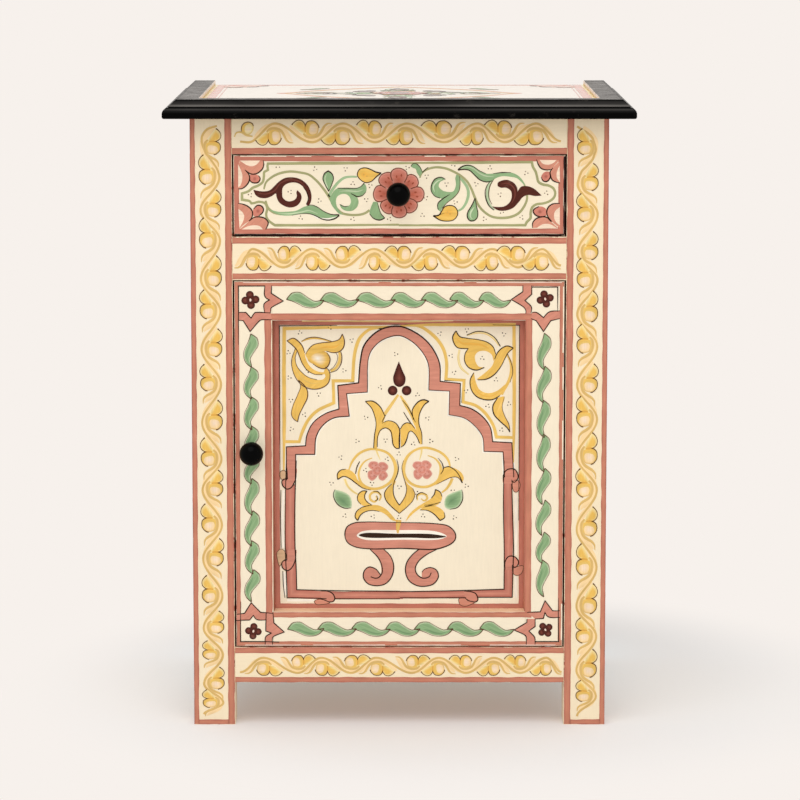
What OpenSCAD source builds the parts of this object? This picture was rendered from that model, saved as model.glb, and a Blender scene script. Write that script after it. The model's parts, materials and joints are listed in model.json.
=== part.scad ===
// Painted nightstand: four posts, a face frame, one drawer over one pivoted panel door,
// and a top board edged on three sides with a black moulding.
// Origin: middle of the footprint on the floor. +X right, +Y to the back, +Z up.

/* [Body] */
// Width over the posts
body_w = 400; // [360:1:460]
// Depth from the front of the front posts to the back of the back posts
body_d = 320; // [280:1:380]
// Height of the posts, up to the underside of the top
body_h = 592; // [540:1:660]
// Side of a square post
post_w = 40; // [36:1:48]
// Rounding on the long edges of a post
post_round = 1.2; // [0.6:0.1:2.5]
// Rounding on the front edges of the rails, the drawer front and the door
edge_round = 0.8; // [0.4:0.1:1.5]
// Height of the open space under the rails
foot_h = 42; // [20:1:70]

/* [Face frame] */
// Thickness of the front rails
rail_t = 22; // [20:0.5:26]
// Height of the bottom rails, front and back
bottom_rail_h = 35; // [28:1:45]
// Height of the rail between drawer and door
middle_rail_h = 42; // [34:1:52]
// Height of the top rails, front and back
top_rail_h = 35; // [28:1:45]
// Height of the opening that the drawer fills
drawer_opening_h = 79; // [65:1:110]
// Length of the tenons on the rails
tenon_l = 20; // [12:1:24]
// Thickness of the tenons on the rails
tenon_t = 10; // [7:0.5:12]
// Shoulder above and below a rail tenon
tenon_shoulder = 6; // [4:0.5:9]

/* [Sides, back and inside] */
// Thickness of the side panels
side_t = 12; // [8:0.5:14]
// Set-back of the side panels from the outer faces of the posts
side_inset = 4; // [2:0.5:8]
// Depth of the grooves that hold the side panels
side_groove = 8; // [5:0.5:12]
// Thickness of the back panel
back_t = 5; // [3:0.5:8]
// Set-back of the back panel from the backs of the posts
back_inset = 1; // [0.9:0.1:3]
// Width of the rebate in the back posts that the back panel lies in
back_rebate = 10; // [7:0.5:14]
// Thickness of the back rails
back_rail_t = 18; // [15:0.5:22]
// Thickness of the cabinet floor
floor_t = 12; // [8:0.5:16]
// Side of the square cleats under the cabinet floor
cleat_w = 15; // [10:0.5:17]
// Thickness of the drawer runners
runner_t = 14; // [10:0.5:20]
// How far the runners and battens reach past the posts, under and over the drawer sides
runner_lip = 20; // [14:0.5:26]
// Height of the guide strips beside the drawer
guide_h = 20; // [12:1:30]

/* [Top] */
// Overhang of the top at the front and the sides
top_overhang = 25; // [16:0.5:34]
// Thickness of the black moulding
moulding_t = 18; // [16:0.5:24]
// Width of the flat top of the moulding
moulding_flat = 21; // [15:0.5:28]
// How far the bevel beside the flat reaches out
bevel_w = 7; // [5:0.25:8]
// How far the bevel drops
bevel_h = 6.25; // [4:0.25:7]
// How far the lower round stands out past the bevel
nose_out = 5.75; // [4.5:0.25:5.75]
// Radius of the lower round of the moulding
lower_round = 6.25; // [6:0.25:7]
// Height of the straight face of the nose
nose_face = 2.25; // [0.5:0.25:3]
// Radius under the nose of the moulding
nose_round = 2.25; // [1.5:0.25:3]
// How far the painted board lies below the flat of the moulding
top_recess = 4.5; // [2:0.5:6]

/* [Drawer] */
// Thickness of the drawer front
drawer_front_t = 18; // [16:0.5:22]
// Space between the back of the drawer and the back faces of the back posts
drawer_back_space = 58; // [53:1:110]
// Thickness of the drawer sides and back
drawer_side_t = 10; // [8:0.5:13]
// Depth of the rebates in the drawer front that take the sides
drawer_lap = 8; // [5:0.5:11]
// Thickness of the drawer bottom
drawer_bottom_t = 4; // [3:0.5:6]
// Depth of the grooves that hold the drawer bottom
drawer_groove = 4; // [3:0.5:5]
// Height of the drawer bottom above the lower edge of the sides
drawer_bottom_up = 8; // [6:0.5:14]
// Space over the drawer sides
drawer_headroom = 3; // [2:0.5:8]
// Gap round the drawer front at left and right
drawer_side_gap = 1.5; // [1:0.1:2.5]
// Gap over and under the drawer front
drawer_edge_gap = 1.2; // [0.8:0.1:2]
// Running gap under the drawer sides
run_gap = 0.3; // [0.2:0.05:0.6]

/* [Door] */
// Thickness of the door frame
door_t = 22; // [20:0.5:24]
// Width of the door stiles
stile_w = 36; // [33:0.5:44]
// Height of the top rail of the door
door_top_h = 37.5; // [32:0.5:48]
// Height of the bottom rail of the door
door_bottom_h = 33.5; // [30:0.5:48]
// Gap between the door and the posts
door_side_gap = 1.5; // [1.3:0.1:2.5]
// Gap over and under the door
door_edge_gap = 1.2; // [1:0.1:2]
// Depth from the front of the door frame to the panel
panel_recess = 12; // [10:0.5:13]
// Thickness of the door panel
panel_t = 6; // [4:0.5:7]
// Depth of the grooves that hold the door panel
panel_groove = 8; // [5:0.5:10]
// How far the inner edge of the door frame slopes in towards the panel
reveal_slope = 1.6; // [0.8:0.1:3]
// Length of the tenons on the door rails
door_tenon_l = 18; // [12:1:18]
// Diameter of the pivot pins
pivot_dia = 4; // [3:0.25:5]
// Distance of the pivots from the hinge edge of the door
pivot_from_edge = 14; // [12:0.5:15]
// Distance of the pivots from the front of the door
pivot_from_front = 6; // [4.5:0.5:6]
// How far a pivot pin enters the door
pivot_depth = 14; // [10:1:20]
// Length of the strip that the door closes against
door_stop_l = 120; // [60:5:200]
// Side of the strip that the door closes against
door_stop_w = 12; // [8:1:16]

/* [Knobs and fixings] */
// Diameter of the ball of a knob
knob_dia = 23; // [18:0.5:24]
// Length of the neck that carries the ball
neck_l = 3.5; // [3:0.5:4.5]
// Diameter of the neck
neck_dia = 12; // [9:0.5:14]
// Height of the door knob above the middle of the door
door_knob_up = 13; // [-60:1:60]
// Distance of the door knob from the free edge of the door
door_knob_in = 16; // [15:0.5:20]
// Height of the drawer knob above the middle of the drawer front
drawer_knob_up = 2; // [-8:0.5:8]
// Distance of the drawer knob to the left of the middle
drawer_knob_left = 1; // [-8:0.5:8]
// Diameter of the screws
screw_dia = 4; // [3:0.25:4.5]
// Diameter of the screw heads
head_dia = 8; // [7:0.25:9]
// Height of the screw heads
head_h = 2.5; // [1.5:0.25:3.5]
// How far a screw bites into the knob or the top board
screw_bite = 9; // [6:0.5:10]
// Diameter of the nails in the back panel
nail_dia = 1.8; // [1.4:0.1:2.4]
// Diameter of the nail heads
nail_head_dia = 5; // [4:0.25:6]
// Length of the nails in the wood behind the panel
nail_bite = 12; // [8:1:15]

/* [Hidden] */
$fn = 64;
cream = "wheat";
black = "dimgray";
pine = "burlywood";
ply = "tan";
steel = "silver";

fit = 0.2;              // clearance of a joint that is glued
ease = 0.3;             // gap between a moving piece and what it stops against
pin_play = 0.05;        // radial play of a pin or screw in its hole
over = 1;               // how far a cutting shape runs past the wood

front_y = -(body_d - top_overhang) / 2;   // front face of the front posts
back_y = front_y + body_d;                // back face of the back posts
half_w = body_w / 2;
open_x = half_w - post_w;                 // half the opening between the posts
post_y = post_w;                          // depth of a post, which is square

bottom_top = foot_h + bottom_rail_h;
drawer_high = body_h - top_rail_h;
drawer_low = drawer_high - drawer_opening_h;
middle_low = drawer_low - middle_rail_h;

side_out = half_w - side_inset;
side_in = side_out - side_t;
panel_front_y = back_y - back_inset - back_t;     // inner face of the back panel
back_rail_y = panel_front_y - back_rail_t;
inner_front_y = front_y + post_y;                 // back face of the front posts
inner_back_y = back_y - post_y;                   // front face of the back posts

moulding_w = moulding_flat + bevel_w + nose_out;
nose_h = nose_round + nose_face;
board_x = half_w + top_overhang - moulding_w;
board_y = front_y - top_overhang + moulding_w;
board_t = moulding_t - top_recess;

lip_x = open_x - runner_lip;                      // inner edge of the runners and battens
drawer_x = open_x - drawer_side_gap;
drawer_front_low = drawer_low + drawer_edge_gap;
drawer_front_high = drawer_high - drawer_edge_gap;
drawer_side_low = drawer_low + run_gap;
drawer_side_high = drawer_high - drawer_headroom;
drawer_back_y = back_y - drawer_back_space;
bottom_low = drawer_side_low + drawer_bottom_up;
bottom_high = bottom_low + drawer_bottom_t;
drawer_mid = (drawer_front_low + drawer_front_high) / 2;

door_x = open_x - door_side_gap;
door_low = bottom_top + door_edge_gap;
door_high = middle_low - door_edge_gap;
frame_x = door_x - stile_w;                       // inner edge of the stiles, at the front
frame_low = door_low + door_bottom_h;
frame_high = door_high - door_top_h;
panel_y = front_y + panel_recess;
panel_back_y = panel_y + panel_t;
door_back_y = front_y + door_t;
pivot_x = door_x - pivot_from_edge;
pivot_y = front_y + pivot_from_front;
drawer_knob_z = drawer_mid + drawer_knob_up;
knob_x = -(door_x - door_knob_in);
knob_z = (door_low + door_high) / 2 + door_knob_up;

ball_r = knob_dia / 2;
ball_out = neck_l + sqrt(ball_r * ball_r - neck_dia * neck_dia / 4);   // ball centre from the wood
pin_r = pivot_dia / 2;
screw_r = screw_dia / 2;
counterbore = 5;        // depth that the screw heads are sunk in the battens
nail_head_h = 0.8;      // height of the nail heads
washer_w = 3;           // width of the ring of the washer under the door
pin_recess = 1;         // how far the pins end inside the rails
stop_w = 14;            // width of the blocks that stop the drawer
stop_d = 10;            // depth of those blocks
stop_h = 16;            // height of those blocks
screw_rows = [0.25, 0.75];            // places of the top screws along the battens
post_nails = [0.08, 0.36, 0.64, 0.92]; // places of the nails up the back posts
rail_nails = [-0.5, 0.5];             // places of the nails along the back rails

// Box between two corners given as [low, high] pairs
module block(x, y, z) {
    translate([x[0], y[0], z[0]]) cube([x[1] - x[0], y[1] - y[0], z[1] - z[0]]);
}

// Upright round bar
module bar(x, y, z, r) {
    translate([x, y, z[0]]) cylinder(h = z[1] - z[0], r = r);
}

// Round bar that lies along Y
module bar_y(x, y, z, r) {
    translate([x, y[1], z]) rotate([90, 0, 0]) cylinder(h = y[1] - y[0], r = r);
}

// Plays its children at the right, or mirrored at the left
module at_side(side) {
    if (side > 0) children();
    else mirror([1, 0, 0]) children();
}

// Upright square bar with rounded long edges
module rounded_bar(x, y, z, r) {
    translate([0, 0, z[0]]) linear_extrude(z[1] - z[0]) union() {
        translate([x[0] + r, y[0]]) square([x[1] - x[0] - 2 * r, y[1] - y[0]]);
        translate([x[0], y[0] + r]) square([x[1] - x[0], y[1] - y[0] - 2 * r]);
        for (cx = [x[0] + r, x[1] - r], cy = [y[0] + r, y[1] - r])
            translate([cx, cy]) circle(r = r);
    }
}

// Section in Y and Z of a board whose two long front edges are rounded
module eased_section(y, z, r) {
    translate([y[0] + r, z[0]]) square([y[1] - y[0] - r, z[1] - z[0]]);
    translate([y[0], z[0] + r]) square([y[1] - y[0], z[1] - z[0] - 2 * r]);
    for (cz = [z[0] + r, z[1] - r]) translate([y[0] + r, cz]) circle(r = r);
}

// Board along X with rounded long front edges
module eased_bar(x, y, z, r) {
    translate([x[0], 0, 0]) rotate([90, 0, 90]) linear_extrude(x[1] - x[0])
        eased_section(y, z, r);
}

// Board with all four front edges rounded
module eased_board(x, y, z, r) {
    intersection() {
        eased_bar(x, y, z, r);
        translate([0, 0, z[0]]) linear_extrude(z[1] - z[0]) mirror([1, -1])
            eased_section(y, x, r);
    }
}

// Tenon at the right end of a rail, or with grow the mortise for it
module rail_tenon(y, z, thick, grow = 0) {
    mid = (y[0] + y[1]) / 2;
    block([open_x - over, open_x + tenon_l + grow],
        [mid - thick / 2 - grow, mid + thick / 2 + grow],
        [z[0] + tenon_shoulder - grow, z[1] - tenon_shoulder + grow]);
}

front_rails = [[foot_h, bottom_top], [middle_low, drawer_low], [drawer_high, body_h]];
back_rails = [[foot_h, bottom_top], [drawer_high, body_h]];
rail_y = [front_y, front_y + rail_t];
back_rail_span = [back_rail_y, panel_front_y];

module rail(y, z, thick) {
    eased_bar([-open_x, open_x], y, z, edge_round);
    for (side = [-1, 1]) at_side(side) rail_tenon(y, z, thick);
}

// Posts
module front_post(side) {
    color(cream) at_side(side) difference() {
        rounded_bar([open_x, half_w], [front_y, inner_front_y], [0, body_h], post_round);
        for (z = front_rails) rail_tenon(rail_y, z, tenon_t, fit);
        block([side_in - fit / 2, side_out + fit / 2],
            [inner_front_y - side_groove, inner_front_y + over], [foot_h - fit, body_h + over]);
    }
}

module back_post(side) {
    color(cream) at_side(side) difference() {
        rounded_bar([open_x, half_w], [inner_back_y, back_y], [0, body_h], post_round);
        for (z = back_rails) rail_tenon(back_rail_span, z, tenon_t, fit);
        block([side_in - fit / 2, side_out + fit / 2],
            [inner_back_y - over, inner_back_y + side_groove], [foot_h - fit, body_h + over]);
        block([open_x - over, open_x + back_rebate + fit], [panel_front_y, back_y + over],
            [foot_h - fit, body_h + over]);
        nail_shanks(pin_play);
    }
}

// Rails of the frame
module front_top_rail() { color(cream) rail(rail_y, front_rails[2], tenon_t); }

module front_middle_rail() {
    color(cream) difference() {
        rail(rail_y, front_rails[1], tenon_t);
        bar(pivot_x, pivot_y, [middle_low - over, drawer_low + over], pin_r + pin_play);
    }
}

module front_bottom_rail() {
    color(cream) difference() {
        rail(rail_y, front_rails[0], tenon_t);
        bar(pivot_x, pivot_y, [foot_h - over, bottom_top + over], pin_r + pin_play);
    }
}

module back_rail(z) {
    color(pine) difference() {
        rail(back_rail_span, z, tenon_t);
        nail_shanks(pin_play);
    }
}

// Side and back panels
module side_panel(side) {
    color(cream) at_side(side) block([side_in, side_out],
        [inner_front_y - side_groove + fit, inner_back_y + side_groove - fit], [foot_h, body_h]);
}

module back_panel() {
    color(ply) difference() {
        block([-open_x - back_rebate, open_x + back_rebate],
            [panel_front_y, back_y - back_inset], [foot_h, body_h]);
        nail_shanks(pin_play);
    }
}

// Places of the nails in the back panel, as [x, z]
nail_places = [
    for (side = [-1, 1], share = post_nails)
        [side * (open_x + back_rebate / 2), foot_h + share * (body_h - foot_h)],
    for (z = back_rails, share = rail_nails)
        [share * open_x, (z[0] + z[1]) / 2]];

module nail_shanks(grow = 0) {
    for (place = nail_places)
        bar_y(place[0], [panel_front_y - nail_bite - grow, back_y - back_inset + grow],
            place[1], nail_dia / 2 + grow);
}

module back_panel_nails() {
    color(steel) union() {
        nail_shanks();
        for (place = nail_places)
            bar_y(place[0], [back_y - back_inset, back_y - back_inset + nail_head_h],
                place[1], nail_head_dia / 2);
    }
}

// Floor of the cabinet, notched round the posts, on two cleats
module cabinet_floor() {
    color(pine) difference() {
        block([-side_in + fit, side_in - fit], [front_y + rail_t + fit, back_rail_y - fit],
            [bottom_top - floor_t, bottom_top]);
        for (side = [-1, 1]) at_side(side) {
            block([open_x - fit, half_w], [front_y, inner_front_y + fit],
                [foot_h, bottom_top + over]);
            block([open_x - fit, half_w], [inner_back_y - fit, back_y],
                [foot_h, bottom_top + over]);
        }
    }
}

module floor_cleat(side) {
    color(pine) at_side(side) block([side_in - cleat_w, side_in],
        [inner_front_y + fit, inner_back_y - fit],
        [bottom_top - floor_t - cleat_w, bottom_top - floor_t]);
}

// Runner, guide and batten of the drawer, at one side
module drawer_runner(side) {
    color(pine) at_side(side) block([lip_x, side_in], [inner_front_y + fit, inner_back_y - fit],
        [drawer_low - runner_t, drawer_low]);
}

module drawer_guide(side) {
    color(pine) at_side(side) block([open_x, side_in], [inner_front_y + fit, inner_back_y - fit],
        [drawer_low, drawer_low + guide_h]);
}

function screw_y(share) = inner_front_y + share * (inner_back_y - inner_front_y);
screw_x = (lip_x + side_in) / 2;

module top_batten(side) {
    color(pine) at_side(side) difference() {
        block([lip_x, side_in], [inner_front_y + fit, inner_back_y - fit], [drawer_high, body_h]);
        for (share = screw_rows) {
            bar(screw_x, screw_y(share), [drawer_high - over, body_h + over], screw_r + pin_play);
            bar(screw_x, screw_y(share), [drawer_high - over, drawer_high + counterbore],
                head_dia / 2 + fit);
        }
    }
}

module top_screws() {
    seat = drawer_high + counterbore;
    color(steel) for (side = [-1, 1], share = screw_rows) at_side(side) union() {
        bar(screw_x, screw_y(share), [seat - head_h, seat], head_dia / 2);
        bar(screw_x, screw_y(share), [seat, body_h + screw_bite], screw_r);
    }
}

// Blocks on the runners that stop the drawer with its front flush
module drawer_stops() {
    color(pine) for (side = [-1, 1]) at_side(side)
        block([drawer_x - stop_w, drawer_x], [drawer_back_y + ease, drawer_back_y + ease + stop_d],
            [drawer_low, drawer_low + stop_h]);
}

// Strip on the left post that the door closes against
module door_stop() {
    color(pine) block([-open_x, -open_x + door_stop_w],
        [door_back_y + ease, door_back_y + ease + door_stop_w],
        [knob_z - door_stop_l / 2, knob_z + door_stop_l / 2]);
}

// Top board and its black moulding
module top_board() {
    color(cream) difference() {
        block([-board_x, board_x], [board_y, back_y], [body_h, body_h + board_t]);
        for (side = [-1, 1], share = screw_rows) at_side(side)
            bar(screw_x, screw_y(share), [body_h - over, body_h + screw_bite + pin_play],
                screw_r + pin_play);
    }
}

// Section of the moulding, with its inner edge at x = 0 and its nose to the right
module moulding_section() {
    union() {
        polygon([[0, 0], [moulding_flat + bevel_w, 0],
            [moulding_flat + bevel_w, moulding_t - bevel_h], [moulding_flat, moulding_t],
            [0, moulding_t]]);
        intersection() {
            translate([moulding_w - lower_round, nose_h]) circle(r = lower_round);
            translate([0, nose_round]) square([moulding_w, nose_face + lower_round]);
        }
        translate([0, nose_round]) square([moulding_w, nose_face]);
        square([moulding_w - nose_round, nose_round]);
        intersection() {
            translate([moulding_w - nose_round, nose_round]) circle(r = nose_round);
            square([moulding_w, nose_round]);
        }
    }
}

top_x = half_w + top_overhang;
top_y = front_y - top_overhang;

// Moulding along the right side, mitred at the front
module side_moulding(side) {
    color(black) at_side(side) intersection() {
        translate([board_x, back_y, body_h]) rotate([90, 0, 0])
            linear_extrude(back_y - top_y) moulding_section();
        translate([0, 0, body_h - over]) linear_extrude(moulding_t + 2 * over)
            polygon([[board_x, board_y], [top_x + over, top_y - over],
                [top_x + over, back_y + over], [board_x, back_y + over]]);
    }
}

// Moulding along the front, mitred at both ends
module front_moulding() {
    color(black) intersection() {
        translate([-top_x, board_y, body_h]) rotate([90, 0, 90]) linear_extrude(2 * top_x)
            mirror([1, 0]) moulding_section();
        translate([0, 0, body_h - over]) linear_extrude(moulding_t + 2 * over)
            polygon([[-board_x, board_y], [-top_x - over, top_y - over],
                [top_x + over, top_y - over], [board_x, board_y]]);
    }
}

// Pivot pins of the door, driven through the rails above and below it
module upper_pivot_pin() {
    color(steel) bar(pivot_x, pivot_y,
        [door_high - pivot_depth + ease, drawer_low - pin_recess], pin_r);
}

module lower_pivot_pin() {
    color(steel) bar(pivot_x, pivot_y,
        [foot_h + pin_recess, door_low + pivot_depth - ease], pin_r);
}

// Washer that keeps the door off the bottom rail
module pivot_washer() {
    color(steel) difference() {
        bar(pivot_x, pivot_y, [bottom_top, door_low - ease], pin_r + washer_w);
        bar(pivot_x, pivot_y, [bottom_top - over, door_low + over], pin_r + pin_play);
    }
}

// Drawer
module bottom_groove(x, y) {
    block(x, y, [bottom_low - fit / 2, bottom_high + fit / 2]);
}

module drawer_front() {
    lap_y = front_y + drawer_front_t - drawer_lap;
    color(cream) difference() {
        eased_board([-drawer_x, drawer_x], [front_y, front_y + drawer_front_t],
            [drawer_front_low, drawer_front_high], edge_round);
        for (side = [-1, 1]) at_side(side)
            block([drawer_x - drawer_side_t - fit, drawer_x + over],
                [lap_y, front_y + drawer_front_t + over],
                [drawer_front_low - over, drawer_front_high + over]);
        bottom_groove([-drawer_x, drawer_x],
            [front_y + drawer_front_t - drawer_groove, front_y + drawer_front_t + over]);
        bar_y(-drawer_knob_left, [front_y - over, front_y + drawer_front_t + over], drawer_knob_z,
            screw_r + pin_play);
    }
}

module drawer_side(side) {
    color(pine) at_side(side) difference() {
        block([drawer_x - drawer_side_t, drawer_x],
            [front_y + drawer_front_t - drawer_lap, drawer_back_y],
            [drawer_side_low, drawer_side_high]);
        bottom_groove([drawer_x - drawer_side_t - over, drawer_x - drawer_side_t + drawer_groove],
            [front_y, drawer_back_y + over]);
    }
}

module drawer_back() {
    color(pine) block([-drawer_x + drawer_side_t + fit, drawer_x - drawer_side_t - fit],
        [drawer_back_y - drawer_side_t, drawer_back_y], [bottom_high + fit / 2, drawer_side_high]);
}

module drawer_bottom() {
    reach = drawer_x - drawer_side_t + drawer_groove - fit;
    color(ply) block([-reach, reach],
        [front_y + drawer_front_t - drawer_groove + fit, drawer_back_y], [bottom_low, bottom_high]);
}

// Turned ball knob that points to the front, with a blind hole for its screw
module knob(x, z) {
    color(black) translate([x, front_y, z]) rotate([90, 0, 0]) difference() {
        rotate_extrude() union() {
            square([neck_dia / 2, ball_out]);
            intersection() {
                translate([0, ball_out]) circle(r = ball_r);
                translate([0, neck_l]) square([ball_r, knob_dia]);
            }
        }
        translate([0, 0, -over]) cylinder(h = screw_bite + fit + over, r = screw_r + pin_play);
    }
}

// Screw from the inside into a knob, through wood of the given thickness
module knob_screw(x, z, thick) {
    color(steel) union() {
        bar_y(x, [front_y - screw_bite, front_y + thick], z, screw_r);
        bar_y(x, [front_y + thick, front_y + thick + head_h], z, head_dia / 2);
    }
}

// Door
door_rails = [[door_low, frame_low], [frame_high, door_high]];
inner_edges = [frame_low, frame_high];

// Whole door as one board, which the members of its frame are cut from
module door_blank() {
    eased_board([-door_x, door_x], [front_y, door_back_y], [door_low, door_high], edge_round);
}

// Space at the depth of the panel, as groove, mortise or tenon
module panel_layer(x, z, grow = 0) {
    block(x, [panel_y - grow, panel_back_y + grow], z);
}

// Heights of a door tenon, which ends short of the panel groove: 0 is the bottom rail, 1 the top
function door_tenon_z(row) = row == 0
    ? [door_low + tenon_shoulder, frame_low - panel_groove - fit]
    : [frame_high + panel_groove + fit, door_high - tenon_shoulder];

// Right stile, with its inner edge sloping in down to the depth of the panel
module stile() {
    difference() {
        intersection() {
            door_blank();
            translate([0, 0, door_low]) linear_extrude(door_high - door_low)
                polygon([[frame_x, front_y], [door_x, front_y], [door_x, door_back_y],
                    [frame_x - reveal_slope, door_back_y], [frame_x - reveal_slope, panel_y]]);
        }
        panel_layer([frame_x - reveal_slope - over, frame_x + panel_groove],
            [frame_low - panel_groove, frame_high + panel_groove], fit / 2);
        for (row = [0, 1])
            panel_layer([frame_x - reveal_slope - over, frame_x + door_tenon_l + fit],
                [door_tenon_z(row)[0] - fit, door_tenon_z(row)[1] + fit], fit / 2);
    }
}

module door_hinge_stile() {
    color(cream) difference() {
        stile();
        for (z = [[door_low - over, door_low + pivot_depth],
                [door_high - pivot_depth, door_high + over]])
            bar(pivot_x, pivot_y, z, pin_r + pin_play);
    }
}

module door_knob_stile() {
    color(cream) difference() {
        mirror([1, 0, 0]) stile();
        bar_y(knob_x, [front_y - over, door_back_y + over], knob_z, screw_r + pin_play);
    }
}

// Rail between the stiles, with its ends cut to their slope: 0 is the bottom rail, 1 the top
module door_rail(row) {
    end_x = frame_x - fit;
    z = door_rails[row];
    up = row == 0 ? 1 : -1;
    edge = inner_edges[row];
    outer = row == 0 ? door_low : door_high;
    groove_z = [edge - up * panel_groove, edge + up * (reveal_slope + over)];
    color(cream) difference() {
        union() {
            intersection() {
                door_blank();
                translate([-door_x, 0, 0]) rotate([90, 0, 90]) linear_extrude(2 * door_x)
                    polygon([[front_y, outer], [front_y, edge], [panel_y, edge + up * reveal_slope],
                        [door_back_y, edge + up * reveal_slope], [door_back_y, outer]]);
                translate([0, 0, door_low]) linear_extrude(door_high - door_low)
                    polygon([[-end_x, front_y], [end_x, front_y],
                        [end_x - reveal_slope, panel_y], [end_x - reveal_slope, door_back_y],
                        [reveal_slope - end_x, door_back_y], [reveal_slope - end_x, panel_y]]);
            }
            panel_layer([-frame_x - door_tenon_l, frame_x + door_tenon_l], door_tenon_z(row));
        }
        panel_layer([-frame_x, frame_x], [min(groove_z), max(groove_z)], fit / 2);
    }
}

module door_panel() {
    reach_x = frame_x + panel_groove - fit;
    color(cream) panel_layer([-reach_x, reach_x],
        [frame_low - panel_groove + fit, frame_high + panel_groove - fit]);
}

front_post(-1);  // front_left_post
front_post(1);  // front_right_post
back_post(-1);  // back_left_post
back_post(1);  // back_right_post
front_top_rail();
front_middle_rail();
front_bottom_rail();
back_rail(back_rails[1]);  // back_top_rail
back_rail(back_rails[0]);  // back_bottom_rail
side_panel(-1);  // left_side_panel
side_panel(1);  // right_side_panel
back_panel();
back_panel_nails();
cabinet_floor();
floor_cleat(-1);  // left_floor_cleat
floor_cleat(1);  // right_floor_cleat
drawer_runner(-1);  // left_drawer_runner
drawer_runner(1);  // right_drawer_runner
drawer_guide(-1);  // left_drawer_guide
drawer_guide(1);  // right_drawer_guide
top_batten(-1);  // left_top_batten
top_batten(1);  // right_top_batten
top_screws();
drawer_stops();
door_stop();
top_board();
front_moulding();
side_moulding(-1);  // left_moulding
side_moulding(1);  // right_moulding
upper_pivot_pin();
lower_pivot_pin();
pivot_washer();
drawer_front();
drawer_side(-1);  // drawer_left_side
drawer_side(1);  // drawer_right_side
drawer_back();
drawer_bottom();
knob(-drawer_knob_left, drawer_knob_z);  // drawer_knob
knob_screw(-drawer_knob_left, drawer_knob_z, drawer_front_t);  // drawer_knob_screw
door_hinge_stile();
door_knob_stile();
door_rail(1);  // door_top_rail
door_rail(0);  // door_bottom_rail
door_panel();
knob(knob_x, knob_z);  // door_knob
knob_screw(knob_x, knob_z, door_t);  // door_knob_screw
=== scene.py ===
# Painted nightstand: brushed ornament, black moulding and plain wood inside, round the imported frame.
# Sizes on the painted faces are in millimetres, as on a sketch; the scene is in metres.
import json
import math
import random

import bpy
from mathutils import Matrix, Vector, noise


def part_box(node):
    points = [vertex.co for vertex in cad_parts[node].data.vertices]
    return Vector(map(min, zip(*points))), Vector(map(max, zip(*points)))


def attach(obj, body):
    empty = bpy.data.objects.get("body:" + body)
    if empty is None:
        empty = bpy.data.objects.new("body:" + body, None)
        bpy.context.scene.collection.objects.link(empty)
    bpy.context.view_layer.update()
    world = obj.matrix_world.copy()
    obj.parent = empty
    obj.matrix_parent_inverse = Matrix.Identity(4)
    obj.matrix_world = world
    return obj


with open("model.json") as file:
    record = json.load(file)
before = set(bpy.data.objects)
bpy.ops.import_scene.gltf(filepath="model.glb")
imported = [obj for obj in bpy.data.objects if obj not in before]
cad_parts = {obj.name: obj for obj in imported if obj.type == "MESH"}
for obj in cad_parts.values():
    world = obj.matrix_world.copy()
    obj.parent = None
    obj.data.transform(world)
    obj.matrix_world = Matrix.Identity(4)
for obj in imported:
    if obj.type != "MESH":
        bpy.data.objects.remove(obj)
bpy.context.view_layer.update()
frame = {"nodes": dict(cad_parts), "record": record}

metre = 0.001
scene = bpy.context.scene
seeded = random.Random(29)


def span(node, axis):
    low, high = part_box(node)
    return low[axis] * 1000, high[axis] * 1000


def linear(*card):
    # A colour as read off a paint card (0 to 255) in the scene's own values
    parts = [value / 255 for value in card]
    return [part / 12.92 if part <= 0.04045 else ((part + 0.055) / 1.055) ** 2.4 for part in parts] + [1.0]


palette = {name: linear(*card) for name, card in {
    "cream": (251, 237, 210), "creamPale": (254, 245, 229), "creamTop": (252, 241, 226),
    "creamWarm": (252, 234, 200), "pink": (213, 142, 121), "pinkStripe": (204, 134, 108),
    "pinkDeep": (186, 110, 94), "pinkBorder": (200, 126, 106), "petal": (215, 135, 116),
    "petalPale": (228, 168, 152), "petalCore": (202, 106, 82),
    "peach": (218, 148, 124), "peachPale": (251, 226, 200), "tan": (220, 182, 142),
    "blush": (247, 222, 204), "green": (146, 178, 130),
    "greenPale": (206, 220, 182), "greenDeep": (112, 146, 104), "greenLine": (170, 168, 120),
    "greenSoft": (164, 192, 146), "maroon": (84, 38, 29), "maroonPale": (126, 66, 54),
    "maroonDeep": (66, 26, 22), "rust": (168, 82, 60), "gold": (232, 198, 118),
    "goldPale": (250, 231, 172), "yellow": (240, 194, 98), "orange": (240, 180, 78),
    "ochre": (214, 168, 86), "stem": (226, 192, 128), "vineGlow": (252, 218, 164),
    "vineGold": (220, 180, 106), "ink": (52, 32, 20), "inkSoft": (98, 68, 46),
    "inkRose": (122, 66, 46), "inkVine": (104, 66, 26), "black": (24, 20, 18)}.items()}
print("Frame loaded, palette mixed")


# Nodes of a material or a group, made in one call each
def feed(node, inputs):
    # Links what another node puts out, and writes plain values into the sockets
    for key, value in inputs.items():
        if isinstance(value, bpy.types.NodeSocket):
            node.id_data.links.new(value, node.inputs[key])
        else:
            node.inputs[key].default_value = value


def addNode(tree, kind, inputs=None, **settings):
    node = tree.nodes.new(kind)
    for key, value in settings.items():
        setattr(node, key, value)
    feed(node, inputs or {})
    return node


def madeFrom(kind, inputs, **settings):
    # A node in the tree that its inputs come from
    tree = next(value.id_data for value in inputs.values() if isinstance(value, bpy.types.NodeSocket))
    return addNode(tree, kind, inputs, **settings).outputs


def calc(operation, *values, clamp=False):
    return madeFrom("ShaderNodeMath", dict(enumerate(values)), operation=operation, use_clamp=clamp)[0]


def plus(first, second):
    return calc("ADD", first, second)


def minus(first, second):
    return calc("SUBTRACT", first, second)


def times(first, second, clamp=False):
    return calc("MULTIPLY", first, second, clamp=clamp)


def vectors(operation, *values, output=0):
    return madeFrom("ShaderNodeVectorMath", dict(enumerate(values)), operation=operation)[output]


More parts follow.
